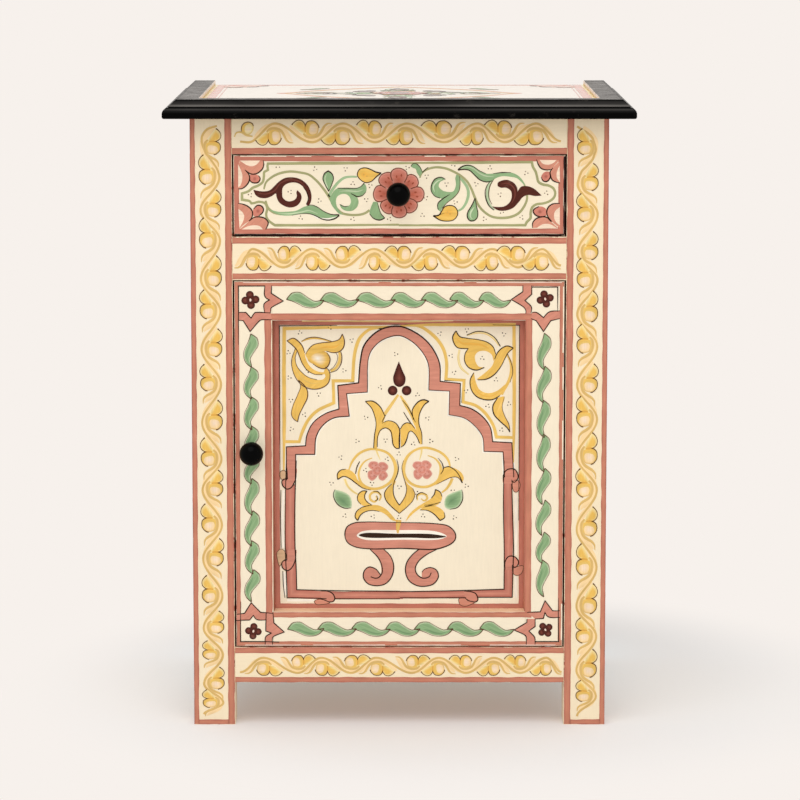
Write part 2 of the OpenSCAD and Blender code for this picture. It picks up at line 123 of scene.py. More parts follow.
def scaled(vector, share):
    return madeFrom("ShaderNodeVectorMath", {0: vector, "Scale": share}, operation="SCALE")[0]


def axesOf(vector):
    return madeFrom("ShaderNodeSeparateXYZ", {0: vector})


def noiseOf(coordinate, scale, detail=2.0, rough=0.5):
    settings = {"Vector": coordinate, "Scale": scale, "Detail": detail, "Roughness": rough}
    return madeFrom("ShaderNodeTexNoise", settings)["Fac"]


def fade(value, low, high, bottom=0.0, top=1.0):
    inputs = {"Value": value, "From Min": low, "From Max": high, "To Min": bottom, "To Max": top}
    return madeFrom("ShaderNodeMapRange", inputs, interpolation_type="SMOOTHSTEP")[0]


def blended(share, first, second):
    # The colour sockets of this node are its inputs 6 and 7 and its output 2
    return madeFrom("ShaderNodeMix", {"Factor": share, 6: first, 7: second}, data_type="RGBA")[2]


def newGroup(name, inputs, outputs):
    tree = bpy.data.node_groups.new(name, "ShaderNodeTree")
    for label, (kind, value) in inputs.items():
        socket = tree.interface.new_socket(name=label, in_out="INPUT", socket_type="NodeSocket" + kind)
        socket.default_value = value
    for label, kind in outputs.items():
        tree.interface.new_socket(name=label, in_out="OUTPUT", socket_type="NodeSocket" + kind)
    return tree, tree.nodes.new("NodeGroupInput").outputs, tree.nodes.new("NodeGroupOutput")


def useGroup(group, inputs):
    tree = inputs["Place"].id_data
    return addNode(tree, "ShaderNodeGroup", inputs, node_tree=group).outputs


# Paint laid on with a brush: streaks along the stroke, thin places where the ground shows
def makeBrushGroup():
    tree, given, out = newGroup("brushPaint", {
        "Paint": ("Color", (0.8, 0.8, 0.8, 1)), "Ground": ("Color", (0.9, 0.85, 0.7, 1)),
        "Stroke": ("Vector", (0, 0, 0)), "Place": ("Vector", (0, 0, 0)),
        "Streaks": ("Float", 0.2), "Thin": ("Float", 0.2), "Base Roughness": ("Float", 0.4),
    }, {"Colour": "Color", "Roughness": "Float", "Height": "Float"})
    hairs = noiseOf(vectors("MULTIPLY", given["Stroke"], (70, 1500, 1)), 1.0, 3.0, 0.6)
    broad = noiseOf(vectors("MULTIPLY", given["Stroke"], (45, 420, 1)), 1.0, 2.0)
    cloud = noiseOf(given["Place"], 55.0, 3.0)
    both = plus(times(hairs, 0.45), times(broad, 0.55))
    lift = times(minus(both, 0.5), given["Streaks"])
    drift = times(minus(cloud, 0.5), given["Streaks"])
    shaded = scaled(given["Paint"], plus(1.0, plus(times(lift, 2.2), drift)))
    bare = times(fade(plus(both, times(cloud, 0.5)), 0.86, 1.12), given["Thin"], clamp=True)
    rough = plus(plus(given["Base Roughness"], times(drift, 0.8)), times(lift, 0.5))
    feed(out, {"Colour": blended(bare, shaded, given["Ground"]), "Roughness": rough,
               "Height": plus(both, times(cloud, 0.6))})
    return tree


# Wear along the edges of a board that fills a box: 1 at the edge, broken up by noise
def makeEdgeGroup():
    tree, given, out = newGroup("edgeWear", {
        "Place": ("Vector", (0, 0, 0)), "Low": ("Vector", (0, 0, 0)), "High": ("Vector", (1, 1, 1)),
        "Width": ("Float", 0.002), "Broken": ("Float", 0.5),
    }, {"Worn": "Float", "Near": "Float"})
    below = vectors("SUBTRACT", given["Place"], given["Low"])
    above = vectors("SUBTRACT", given["High"], given["Place"])
    x, y, z = axesOf(vectors("MINIMUM", below, above))
    second = calc("MAXIMUM", calc("MINIMUM", x, y), calc("MINIMUM", calc("MAXIMUM", x, y), z))
    patches = noiseOf(given["Place"], 60.0, 3.0, 0.6)
    chips = noiseOf(given["Place"], 420.0, 3.0, 0.6)
    wide = times(plus(patches, times(chips, 0.6)), given["Width"])
    worn = fade(calc("DIVIDE", second, plus(wide, 0.00001)), 0.5, 0.95, 1.0, 0.0)
    gate = fade(plus(patches, times(chips, 0.3)), plus(given["Broken"], 0.08), plus(given["Broken"], 0.2))
    near = fade(calc("DIVIDE", second, given["Width"]), 0.0, 6.0, 1.0, 0.0)
    feed(out, {"Worn": times(worn, gate), "Near": near})
    return tree


# Sawn and planed softwood: rings cut along the board, pores and colour drift
def makeGrainGroup():
    tree, given, out = newGroup("woodGrain", {
        "Place": ("Vector", (0, 0, 0)), "Stretch": ("Vector", (1, 20, 20)),
        "Early": ("Color", (0.6, 0.4, 0.2, 1)), "Late": ("Color", (0.4, 0.25, 0.12, 1)),
        "Rings": ("Float", 1.0),
    }, {"Colour": "Color", "Height": "Float", "Roughness": "Float"})
    along = vectors("MULTIPLY", given["Place"], given["Stretch"])
    lines = times(noiseOf(along, 1.4, 2.0), times(given["Rings"], 26.0))
    fibre = noiseOf(along, 22.0, 3.0, 0.6)
    late = fade(calc("ABSOLUTE", calc("SINE", lines)), 0.55, 1.0)
    share = plus(times(late, 0.6), times(fibre, 0.4))
    feed(out, {"Colour": blended(share, given["Early"], given["Late"]),
               "Height": plus(fibre, times(late, 0.5)), "Roughness": plus(0.55, times(fibre, 0.2))})
    return tree


brushGroup, edgeGroup, grainGroup = makeBrushGroup(), makeEdgeGroup(), makeGrainGroup()


def newMaterial(name):
    material = bpy.data.materials.new(name)
    material.use_nodes = True
    tree = material.node_tree
    shader = tree.nodes["Principled BSDF"]
    return material, shader, tree.nodes.new("ShaderNodeTexCoord").outputs["Object"]


def finishMaterial(shader, colour, rough, height, bump, distance=0.0003):
    relief = addNode(shader.id_data, "ShaderNodeBump",
                     {"Strength": bump, "Distance": distance, "Height": height})
    feed(shader, {"Base Color": colour, "Roughness": rough, "Normal": relief.outputs[0]})


def woodGrain(place, along, early, late, rings=1.0):
    stretch = [1.6 if axis == along else 26.0 for axis in range(3)]
    return useGroup(grainGroup, {"Place": place, "Stretch": stretch, "Early": linear(*early),
                                 "Late": linear(*late), "Rings": rings})


# Cream ground of the boards, brushed along them, a little dirty and chipped at the edges
creamSizes = {"streaks": 0.07, "thin": 0.25, "rough": 0.42, "varnished": 0.2, "chipWidth": 0.0016,
              "broken": 0.62, "grime": 0.1, "grimeTint": (214, 176, 120), "wornTint": (160, 98, 72)}
redBrown = ((150, 80, 54), (116, 50, 32))
paleEdge = ((226, 158, 128), (214, 142, 112))
everywhere = (1.0, -1.0)
behindFace = (-0.1464, *everywhere, redBrown)
paintedEdge = (-0.1464, *everywhere, paleEdge)
doorBack = (-0.132, *everywhere, redBrown)
bareParts = {   # behind a depth, within a width and over a height the wood shows, in two browns
    "front_left_post": [(-0.1466, 0.1604, 0.0425, redBrown)],
    "front_right_post": [(-0.1466, 0.1604, 0.0425, redBrown)],
    "front_top_rail": [behindFace],
    "front_middle_rail": [paintedEdge, (-0.1464, 1.0, 0.457, redBrown), doorBack],
    "front_bottom_rail": [paintedEdge, doorBack],
    "left_side_panel": [(-1.0, 0.1855, -1.0, redBrown)],
    "right_side_panel": [(-1.0, 0.1855, -1.0, redBrown)],
    "drawer_front": [behindFace],
    "door_top_rail": [behindFace, (-0.1464, 1.0, 0.42, paleEdge), doorBack],
    # Recess faces of the door: bare wood with painted light and shade, pale on the bottom rail, which faces
    # up, lighter on the hinge stile than on the knob stile
    "door_hinge_stile": [(-0.1464, *everywhere, ((205, 142, 112), (176, 108, 84))), doorBack],
    "door_knob_stile": [(-0.1464, *everywhere, ((180, 114, 86), (146, 82, 60))), doorBack],
    "door_bottom_rail": [(-0.1464, *everywhere, ((244, 206, 168), (230, 182, 144))), doorBack],
    "door_panel": [(-0.1345, *everywhere, redBrown)],
}


def creamBoard(node, along):
    material, shader, place = newMaterial("creamPaint_" + node)
    low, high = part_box(node)
    axes = axesOf(place)
    across = plus(*[axes[axis] for axis in range(3) if axis != along])
    strokes = madeFrom("ShaderNodeCombineXYZ", {0: axes[along], 1: across})[0]
    top = node == "top_board"
    # The top board takes a paler cream, which partly paints in the sheen on the top; the front boards take
    # a warmer one
    tint = "creamTop" if top else "creamWarm" if node.startswith("front_") else "cream"
    brush = useGroup(brushGroup, {
        "Paint": palette[tint], "Ground": palette["creamPale"], "Stroke": strokes, "Place": place,
        "Streaks": creamSizes["streaks"], "Thin": creamSizes["thin"],
        "Base Roughness": creamSizes["varnished" if top else "rough"]})
    edge = useGroup(edgeGroup, {"Place": place, "Low": low, "High": high,
                                "Width": creamSizes["chipWidth"], "Broken": creamSizes["broken"]})
    colour = blended(times(edge["Near"], creamSizes["grime"]), brush["Colour"],
                     linear(*creamSizes["grimeTint"]))
    colour = blended(edge["Worn"], colour, linear(*creamSizes["wornTint"]))
    for depth, wide, tall, browns in bareParts.get(node, ()):
        mask = calc("GREATER_THAN", axes[1], depth)
        mask = times(mask, calc("LESS_THAN", calc("ABSOLUTE", axes[0]), wide))
        mask = times(mask, calc("GREATER_THAN", axes[2], tall))
        colour = blended(mask, colour, woodGrain(place, along, *browns)["Colour"])
    relief = minus(brush["Height"], times(edge["Worn"], 1.2))
    finishMaterial(shader, colour, brush["Roughness"], relief, 0.25)
    shader.inputs["Specular IOR Level"].default_value = 0.5 if top else 0.4
    return material


def woodBoard(name, along, early, late, rings=1.0):
    material, shader, place = newMaterial(name)
    grain = woodGrain(place, along, early, late, rings)
    finishMaterial(shader, grain["Colour"], grain["Roughness"], grain["Height"], 0.3)
    return material


def steelMaterial():
    material, shader, place = newMaterial("dullSteel")
    shader.inputs["Metallic"].default_value = 1.0
    tarnish = noiseOf(place, 900.0, 3.0)
    colour = blended(tarnish, linear(150, 148, 144), linear(190, 188, 184))
    finishMaterial(shader, colour, fade(tarnish, 0.3, 0.7, 0.3, 0.5), tarnish, 0.15)
    return material


blackSizes = {"coat": (5, 5, 5), "rubbed": (84, 78, 72), "shine": 0.04, "knobShine": 0.03,
              "rough": (0.24, 0.38), "knobRough": (0.12, 0.2), "boardX": 0.19045, "boardY": -0.13795}
mouldingSheenBands = [   # height and grey of the paint: painted highlights along the ridges, painted shade in the hollow
    (0.5920, 1), (0.5970, 1), (0.5990, 9), (0.6001, 28), (0.6009, 68), (0.6014, 50), (0.6019, 2),
    (0.6035, 2), (0.60375, 120), (0.6048, 92), (0.6058, 50), (0.6080, 36), (0.6092, 6), (0.6098, 6),
    (0.60995, 84)]


def blackWithPaintedSheen(place):
    # Painted highlights and shade of the moulding by height: grey where its rounds would catch the light,
    # black in its hollows, a little uneven along it
    low, high = mouldingSheenBands[0][0], mouldingSheenBands[-1][0]
    share = calc("DIVIDE", minus(axesOf(place)[2], low), high - low)
    ramp = addNode(place.id_data, "ShaderNodeValToRGB", {0: share})
    stops = ramp.color_ramp.elements
    for index, (at, grey) in enumerate(mouldingSheenBands):
        stop = stops[index] if index < 2 else stops.new(1.0)
        stop.position = (at - low) / (high - low)
        stop.color = linear(grey, grey * 0.96, grey * 0.92)
    uneven = noiseOf(vectors("MULTIPLY", place, (9, 9, 60)), 1.0, 3.0)
    return scaled(ramp.outputs[0], fade(uneven, 0.25, 0.7, 0.45, 1.15))


def blackPaint(name, moulding=False):
    material, shader, place = newMaterial(name)
    cloud = noiseOf(place, 70.0, 4.0, 0.6)
    speck = noiseOf(place, 900.0, 2.0)
    rub = fade(plus(cloud, times(speck, 0.35)), 0.78, 0.98)
    coat = linear(*blackSizes["coat"])
    # The moulding's base colour carries its painted highlights and shade by height
    colour = blended(times(rub, 0.3 if moulding else 0.04), blackWithPaintedSheen(place) if moulding else coat,
                     linear(*blackSizes["rubbed"]))
    if moulding:
        # Painted shade: a dark rim along the outer edge of the side flats, on their rounded edge
        x, y, z = axesOf(place)
        rim = fade(calc("ABSOLUTE", x), 0.2098, 0.2106, 0.0, 0.9)
        rim = times(rim, calc("GREATER_THAN", z, 0.6097))
        rim = times(rim, calc("GREATER_THAN", y, -0.158))
        colour = blended(rim, colour, coat)
        # The inner faces, beside the painted board, are cream, with a ragged edge
        ragged = times(noiseOf(place, 260.0, 3.0, 0.7), 0.0022)
        inner = calc("LESS_THAN", calc("ABSOLUTE", x), plus(ragged, blackSizes["boardX"]))
        inner = times(inner, calc("GREATER_THAN", y, minus(blackSizes["boardY"], ragged)))
        pale = blended(fade(z, 0.6058, 0.6085), palette["gold"], palette["creamTop"])
        colour = blended(inner, colour, pale)
    low, high = blackSizes["rough" if moulding else "knobRough"]
    relief = plus(cloud, times(speck, 0.3))
    finishMaterial(shader, colour, fade(cloud, 0.3, 0.7, low, high), relief, 0.12, 0.0006)
    shader.inputs["Specular IOR Level"].default_value = blackSizes["shine" if moulding else "knobShine"]
    return material


pineMaterials = [woodBoard("barePine_" + "xyz"[axis], axis, (220, 182, 130), (198, 152, 100))
                 for axis in range(3)]
steel, mouldingBlack, knobBlack = steelMaterial(), blackPaint("satinBlack", True), blackPaint("glossBlack")
for subpart in frame["record"]["subparts"]:
    nodeName, slot = subpart["node"], subpart["material_slot"]
    low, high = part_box(nodeName)
    longest = max(range(3), key=lambda axis: high[axis] - low[axis])
    along = 1 if nodeName == "drawer_stops" else longest   # that node is two blocks side by side
    if slot == "painted_wood":
        material = creamBoard(nodeName, along)
    elif slot == "bare_wood":
        material = pineMaterials[along]
    elif slot == "plywood":
        material = woodBoard("plywood_" + nodeName, along, (214, 180, 134), (203, 166, 120), 0.45)
    elif slot == "black_paint":
        material = mouldingBlack if "moulding" in nodeName else knobBlack
    else:
        material = steel
    slots = frame["nodes"][nodeName].data.materials
    slots.clear()
    slots.append(material)
print("Boards, bare wood, steel and black paint given")


# Points of a drawing, across and up in turn, in half millimetres. A bend stands after the point where
# a line turns sharply, and gives that point a second time.
bend = None


def marks(*values, unit=0.5):
    points, rest = [], iter(values)
    for value in rest:
        points.append(points[-1] if value is bend else (value * unit, next(rest) * unit))
    return points


def smooth(points, closed=False, gap=1.2):
    # Runs a soft curve through the points; a point given twice is a corner
    points = [Vector(p) for p in points]
    if closed:
        first = next((i for i, p in enumerate(points) if (p - points[i - 1]).length < 1e-6), None)
        if first is None:
            return sampled([points[-1]] + points + points[:2], gap)[:-1]
        points = points[first:] + points[:first]
    runs = [[points[0]]]
    for p in points[1:]:
        if (p - runs[-1][-1]).length < 1e-6:
            runs.append([p])
        else:
            runs[-1].append(p)
    out = []
    for run in runs:
        if len(run) > 1:
            out += sampled([2 * run[0] - run[1]] + run + [2 * run[-1] - run[-2]], gap)[:-1]
    return out if closed else out + [runs[-1][-1]]


def sampled(line, gap):
    out = []
    for a, b, c, d in zip(line, line[1:], line[2:], line[3:]):
        t0, t1, t2 = [max((q - p).length, 1e-6) ** 0.5 for p, q in ((a, b), (b, c), (c, d))]
        m1 = ((b - a) / t0 - (c - a) / (t0 + t1) + (c - b) / t1) * t1
        m2 = ((c - b) / t1 - (d - b) / (t1 + t2) + (d - c) / t2) * t1
        steps = max(1, math.ceil((c - b).length / gap))
        for step in range(steps):
            s = step / steps
            out.append(b * (2 * s ** 3 - 3 * s * s + 1) + m1 * (s ** 3 - 2 * s * s + s)
                       + c * (3 * s * s - 2 * s ** 3) + m2 * (s ** 3 - s * s))
    return out + [line[-2].copy()]


def spread(values, share):
    # Reads a list of values as a graph from 0 to 1
    if not isinstance(values, (list, tuple)):
        return values
    at = min(max(share, 0), 1) * (len(values) - 1)
    low = min(int(at), len(values) - 2)
    return values[low] + (values[low + 1] - values[low]) * (at - low)


def between(first, second, share):
    return [a + (b - a) * share for a, b in zip(first, second)]


def circle(middle, radius, count=8, step=0.7854):
    # Points round a middle, by a step in radians
    return [(middle[0] + radius * math.cos(k * step), middle[1] + radius * math.sin(k * step))
            for k in range(count)]


def aim(angle):
    return Vector((math.cos(angle), math.sin(angle)))


def diamond(x, y, across, up):
    return [(x + across, y), (x, y + up), (x - across, y), (x, y - up)]


# The paint itself, as raised strokes. A sheet gathers shapes drawn flat: across, up, and their height.
strokeSizes = {"layerStep": 0.035, "layerBase": 0.06, "sunk": -0.03, "inkSwell": 1.25}


def newSheet():
    return {"points": [], "faces": [], "paint": [], "stroke": []}


def put(sheet, place, height, paint, stroke):
    sheet["points"].append((place[0], place[1], height))
    sheet["paint"].append(paint)
    sheet["stroke"].append(stroke)
    return len(sheet["points"]) - 1


def heightOf(layer):
    return strokeSizes["layerBase"] + strokeSizes["layerStep"] * layer


def clearCorners(path, reach):
    # Drops the points so near a sharp corner that a wide stroke would fold over itself there
    corners = [b for a, b, c in zip(path, path[1:], path[2:])
               if (b - a).length > 1e-6 and (c - b).length > 1e-6 and (b - a).angle(c - b) > 0.6]
    kept = [path[0]]
    for p in path[1:-1]:
        if p in corners or all((p - corner).length > reach for corner in corners):
            kept.append(p)
    return kept + [path[-1]]


def ribbon(sheet, points, widths, paint, layer=1, edge=None, closed=False, gap=1.2, columns=2, shake=0.0):
    # A stroke along the points, as wide as its widths say and paler or darker at its edge
    path = smooth(points, closed, gap)
    if not closed:
        path = clearCorners(path, 0.55 * max(widths))
    count = len(path)
    along = [0.0]
    for a, b in zip(path, path[1:]):
        along.append(along[-1] + (b - a).length)
    total = along[-1] + ((path[0] - path[-1]).length if closed else 0)
    paint, edge = palette[paint], palette[edge or paint]
    seed = seeded.uniform(0, 90)
    top, low = [], []
    for i, p in enumerate(path):
        before = path[i - 1] if closed or i else p
        after = path[(i + 1) % count] if closed or i < count - 1 else p
        d1 = (p - before).normalized() if (p - before).length > 1e-7 else (after - p).normalized()
        d2 = (after - p).normalized() if (after - p).length > 1e-7 else d1
        t = (d1 + d2).normalized() if (d1 + d2).length > 1e-6 else d1
        left = Vector((-t.y, t.x))
        reach = min(1 / max(left.dot(Vector((-d2.y, d2.x))), 0.5), 1.6)
        half = max(spread(widths, along[i] / max(total, 1e-6)), 0.1) / 2
        row = []
        for c in range(columns):
            side = 2 * c / (columns - 1) - 1
            wave = shake * noise.noise(Vector((p.x * 0.09 + side * 7, p.y * 0.09, seed))) if shake else 0.0
            colour = between(edge, paint, min(1, (1 - abs(side)) * 1.6)) if columns > 2 else paint
            row.append(put(sheet, p + left * (side * half * reach + wave), heightOf(layer), colour,
                           (along[i] * metre, side * half * metre, seed)))
        top.append(row)
        stroke = (along[i] * metre, half * metre, seed)
        low.append([put(sheet, sheet["points"][row[c]], strokeSizes["sunk"], edge, stroke)
                    for c in (0, -1)])
    faces = sheet["faces"]
    for i in range(count if closed else count - 1):
        k = (i + 1) % count
        for c in range(columns - 1):
            faces.append((top[i][c], top[k][c], top[k][c + 1], top[i][c + 1]))
        faces.append((low[i][0], low[k][0], top[k][0], top[i][0]))
        faces.append((low[k][1], low[i][1], top[i][-1], top[k][-1]))
        faces.append((low[i][1], low[k][1], low[k][0], low[i][0]))
    if not closed:
        faces.append((low[0][1], low[0][0], *top[0]))
        faces.append((low[-1][0], low[-1][1], *reversed(top[-1])))


def band(sheet, points, widths, paint, layer=1, edge=None, **more):
    # A stroke that is shaded across, from its edge to its middle
    ribbon(sheet, points, widths, paint, layer, edge, columns=3, **more)


def ink(sheet, points, widths, paint="ink", layer=6, **more):
    # A thin line; its widths are in tenths of a millimetre, a little less than they show
    ribbon(sheet, points, [strokeSizes["inkSwell"] * (wide / 10) for wide in widths], paint, layer, **more)


def blob(sheet, outline, paint, layer=1, centre=None, heart=None, rings=(0, 0.3, 0.65), gap=1.2,
         edge=None, flow=0.0):
    # A filled shape: flat, or with a centre shaded from edge through paint to heart
    ring = smooth(outline, True, gap)
    area = sum(a.x * b.y - b.x * a.y for a, b in zip(ring, ring[1:] + ring[:1]))
    if area < 0:
        ring.reverse()
    paint, edge = palette[paint], palette[edge or paint]
    heart = palette[heart] if heart else paint
    seed = seeded.uniform(0, 90)
    height = heightOf(layer)
    turn = (math.cos(flow), math.sin(flow))

    def mark(p, up, colour):
        stroke = ((p.x * turn[0] + p.y * turn[1]) * metre, (p.y * turn[0] - p.x * turn[1]) * metre, seed)
        return put(sheet, p, up, colour, stroke)

    faces = sheet["faces"]
    low = [mark(p, strokeSizes["sunk"], edge) for p in ring]
    loops = []
    if centre is None:
        loops.append([mark(p, height, paint) for p in ring])
        faces.append(tuple(loops[0]))
    else:
        centre = Vector(centre)
        for k in rings:
            colour = between(edge, paint, k / rings[1]) if k < rings[1] else \
                between(paint, heart, (k - rings[1]) / (1 - rings[1]))
            loops.append([mark(p.lerp(centre, k), height, colour) for p in ring])
        tip = mark(centre, height, heart)
    following = [(i, (i + 1) % len(ring)) for i in range(len(ring))]
    for outer, inner in zip(loops, loops[1:]):
        faces += [(outer[i], outer[k], inner[k], inner[i]) for i, k in following]
    if centre is not None:
        faces += [(loops[-1][i], loops[-1][k], tip) for i, k in following]
    faces.append(tuple(reversed(low)))
    faces += [(low[i], low[k], loops[0][k], loops[0][i]) for i, k in following]


def part(ring, first, last):
    # A stretch of a closed outline, over its start if need be, and backwards if the last is lower
    way = 1 if last >= first else -1
    return [ring[k % len(ring)] for k in range(first, last + way, way)]


def patch(sheet, outline, paint, layer, flow, lines, tone="ink", **more):
    # A filled shape with ink lines: each runs over a stretch of its outline, or along its own points
    blob(sheet, outline, paint, layer, flow=flow)
    for *line, wide in lines:
        ink(sheet, line[0] if len(line) == 1 else part(outline, *line), wide, tone, **more)


def placed(sheet, across=(1, 0), up=(0, 1), shift=(0, 0), lift=0):
    # The same sheet turned, mirrored or moved; a mirrored one keeps its faces outward
    flip = across[0] * up[1] - across[1] * up[0] < 0
    out = dict(sheet)
    out["points"] = [(across[0] * x + up[0] * y + shift[0], across[1] * x + up[1] * y + shift[1],
                      z + (strokeSizes["layerStep"] * lift if z > 0 else 0)) for x, y, z in sheet["points"]]
    out["faces"] = [tuple(reversed(face)) for face in sheet["faces"]] if flip else sheet["faces"]
    return out


def plane(origin, across, up, out):
    return [Vector(v) for v in (origin, across, up, out)]


frontY = span("front_left_post", 1)[0]
panelY = span("door_panel", 1)[0]
sideX = span("front_right_post", 0)[1]
sidePanelX = span("right_side_panel", 0)[1]
topZ = span("top_board", 2)[1]
planes = {   # each painted face: a point on it, its across and up directions, and outward
    "flat": plane((0, 0, 0), (1, 0, 0), (0, 1, 0), (0, 0, 1)),
    "top": plane((0, 0, topZ), (1, 0, 0), (0, 1, 0), (0, 0, 1)),
    "front": plane((0, frontY, 0), (1, 0, 0), (0, 0, 1), (0, -1, 0)),
    "panel": plane((0, panelY, 0), (1, 0, 0), (0, 0, 1), (0, -1, 0)),
    "right": plane((sideX, 0, 0), (0, 1, 0), (0, 0, 1), (1, 0, 0)),
    "left": plane((-sideX, 0, 0), (0, -1, 0), (0, 0, 1), (-1, 0, 0)),
    "rightPanel": plane((sidePanelX, 0, 0), (0, 1, 0), (0, 0, 1), (1, 0, 0)),
    "leftPanel": plane((-sidePanelX, 0, 0), (0, -1, 0), (0, 0, 1), (-1, 0, 0)),
}


def makeMesh(name, layers, material):
    points, faces, paint, stroke = [], [], [], []
    for sheet, face in layers:
        origin, across, up, out = planes[face]
        base = len(points)
        points += [(origin + across * x + up * y + out * z) * metre for x, y, z in sheet["points"]]
        faces += [tuple(i + base for i in ring) for ring in sheet["faces"]]
        paint += [value for colour in sheet["paint"] for value in colour]
        stroke += [value for values in sheet["stroke"] for value in values]
    mesh = bpy.data.meshes.new(name)
    mesh.from_pydata(points, [], faces)
    for label, kind, key, values in (("paint", "FLOAT_COLOR", "color", paint),
                                     ("stroke", "FLOAT_VECTOR", "vector", stroke)):
        mesh.attributes.new(label, kind, "POINT").data.foreach_set(key, values)
    mesh.materials.append(material)
    mesh.update()
    return mesh


def newObject(name, mesh):
    thing = bpy.data.objects.new(name, mesh)
    scene.collection.objects.link(thing)
    return thing


def brushedPaint(name, rough, shine):
    material, shader, place = newMaterial(name)
    paint, stroke = [addNode(shader.id_data, "ShaderNodeAttribute", attribute_name=label).outputs
                     for label in ("paint", "stroke")]
    brush = useGroup(brushGroup, {
        "Paint": paint["Color"], "Ground": palette["cream"], "Stroke": stroke["Vector"], "Place": place,
        "Streaks": 0.32, "Thin": 0.2, "Base Roughness": rough})
    finishMaterial(shader, brush["Colour"], brush["Roughness"], brush["Height"], 0.3)
    shader.inputs["Specular IOR Level"].default_value = shine
    return material


paintMaterial = brushedPaint("brushedPaint", 0.4, 0.12)
topMaterial = brushedPaint("varnishedPaint", 0.18, 0.5)


def keepPiece(thing, body, note=""):
    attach(thing, body)
    print("  ", thing.name, len(thing.data.polygons), "faces" + note)


def makePiece(name, body, *layers, material=paintMaterial):
    # layers: sheets, each with the face that it lies on
    keepPiece(newObject(name, makeMesh(name, layers, material)), body)


# Repeats a motif on marked spots; each spot carries its turn, its growth and whether it is mirrored
def makeScatterTree():
    tree = bpy.data.node_groups.new("repeatMotif", "GeometryNodeTree")
    for label, kind in (("Spots", "Geometry"), ("Motif", "Object"), ("Mirrored Motif", "Object"),
                        ("Swell", "Float"), ("Paint", "Material")):
        tree.interface.new_socket(name=label, in_out="INPUT", socket_type="NodeSocket" + kind)
    tree.interface.new_socket(name="Geometry", in_out="OUTPUT", socket_type="NodeSocketGeometry")
    given = tree.nodes.new("NodeGroupInput").outputs
    out = tree.nodes.new("NodeGroupOutput")
    turn, grow, side = [
        addNode(tree, "GeometryNodeInputNamedAttribute", {"Name": label}, data_type=kind).outputs[0]
        for label, kind in (("turn", "FLOAT_VECTOR"), ("grow", "FLOAT_VECTOR"), ("mirrored", "BOOLEAN"))]
    size = scaled(grow, given["Swell"])
    other = madeFrom("FunctionNodeBooleanMath", {0: side}, operation="NOT")[0]
    join = tree.nodes.new("GeometryNodeJoinGeometry")
    for label, chosen in (("Motif", other), ("Mirrored Motif", side)):
        source = madeFrom("GeometryNodeObjectInfo", {"Object": given[label]})
        copies = madeFrom("GeometryNodeInstanceOnPoints", {
            "Points": given["Spots"], "Selection": chosen, "Instance": source["Geometry"],
            "Rotation": turn, "Scale": size})
        tree.links.new(copies[0], join.inputs[0])
    real = madeFrom("GeometryNodeRealizeInstances", {"Geometry": join.outputs[0]})
    coat = madeFrom("GeometryNodeSetMaterial", {"Geometry": real[0], "Material": given["Paint"]})
    tree.links.new(coat[0], out.inputs[0])
    return tree


scatterTree = makeScatterTree()


def scatter(name, body, face, motif, spots):
    # spots: across, up, angle in degrees, growth along and across, mirrored
    sources = [newObject(name + "Motif", makeMesh(name + "Motif", [(sheet, "flat")], paintMaterial))
               for sheet in (motif, placed(motif, across=(-1, 0)))]
    origin, across, up, out = planes[face]
    points, turns, grows, flags = [], [], [], []
    for index, (x, y, angle, growX, growY, mirrored) in enumerate(spots):
        points.append((origin + across * x + up * y + out * (0.007 * (index % 5))) * metre)
        turns += [math.pi / 2, -math.radians(angle), 0.0]
        grows += [growX, growY, 1.0]
        flags.append(mirrored)
    mesh = bpy.data.meshes.new(name)
    mesh.from_pydata(points, [], [])
    mesh.attributes.new("turn", "FLOAT_VECTOR", "POINT").data.foreach_set("vector", turns)
    mesh.attributes.new("grow", "FLOAT_VECTOR", "POINT").data.foreach_set("vector", grows)
    mesh.attributes.new("mirrored", "BOOLEAN", "POINT").data.foreach_set("value", flags)
    thing = newObject(name, mesh)
    modifier = thing.modifiers.new("repeatMotif", "NODES")
    modifier.node_group = scatterTree
    values = {"Motif": sources[0], "Mirrored Motif": sources[1], "Swell": 1.0, "Paint": paintMaterial}
    for item in scatterTree.interface.items_tree:
        if item.in_out == "INPUT" and item.name in values:
            modifier[item.identifier] = values[item.name]
    graph = bpy.context.evaluated_depsgraph_get()
    made = bpy.data.meshes.new_from_object(thing.evaluated_get(graph), preserve_all_data_layers=True,
                                           depsgraph=graph)
    thing.modifiers.clear()
    thing.data = made
    made.name = name
    for source in sources:
        bpy.data.objects.remove(source)
    keepPiece(thing, body, f", {len(spots)} repeats")


# Pink lines along the boards, brushed a little unevenly
stripeSizes = {"shake": 0.55, "columns": 5, "gap": 3.0}


def stripe(sheet, start, end, wide, paint="pinkStripe", layer=1, edge="pinkDeep", **more):
    ribbon(sheet, [start, end], [wide, wide], paint, layer, edge, **{**stripeSizes, **more})


def frameOf(sheet, left, right, low, high, wide, paint="pinkStripe", edge="pinkDeep"):
    # A closed line round a rectangle, given by its outer edges
    w = wide / 2
    corners = [(left + w, low + w), (right - w, low + w), (right - w, high - w), (left + w, high - w)]
    points = [p for corner in corners for p in (corner, corner)]
    ribbon(sheet, points, wide, paint, 1, edge, closed=True,
           **{**stripeSizes, "shake": stripeSizes["shake"] * 0.7})


postTop = span("front_left_post", 2)[1]
postStripes, railStripes, sideStripes, panelLines = [newSheet() for k in range(4)]
for side in (-1, 1):
    for x, wide in ((197.6, 4.6), (163.7, 6.2)):
        stripe(postStripes, (side * x, 0.4), (side * x, postTop), wide)
    stripe(postStripes, (side * 195.4, 2.6), (side * 166.6, 2.6), 4.6)
for height, wide in ((560.2, 5.8), (474.2, 5.8), (439.9, 5.6), (73.9, 5.8), (44.6, 5)):
    stripe(railStripes, (-159.9, height), (159.9, height), wide)
makePiece("postStripes", "carcass", (postStripes, "front"))
makePiece("railStripes", "carcass", (railStripes, "front"))

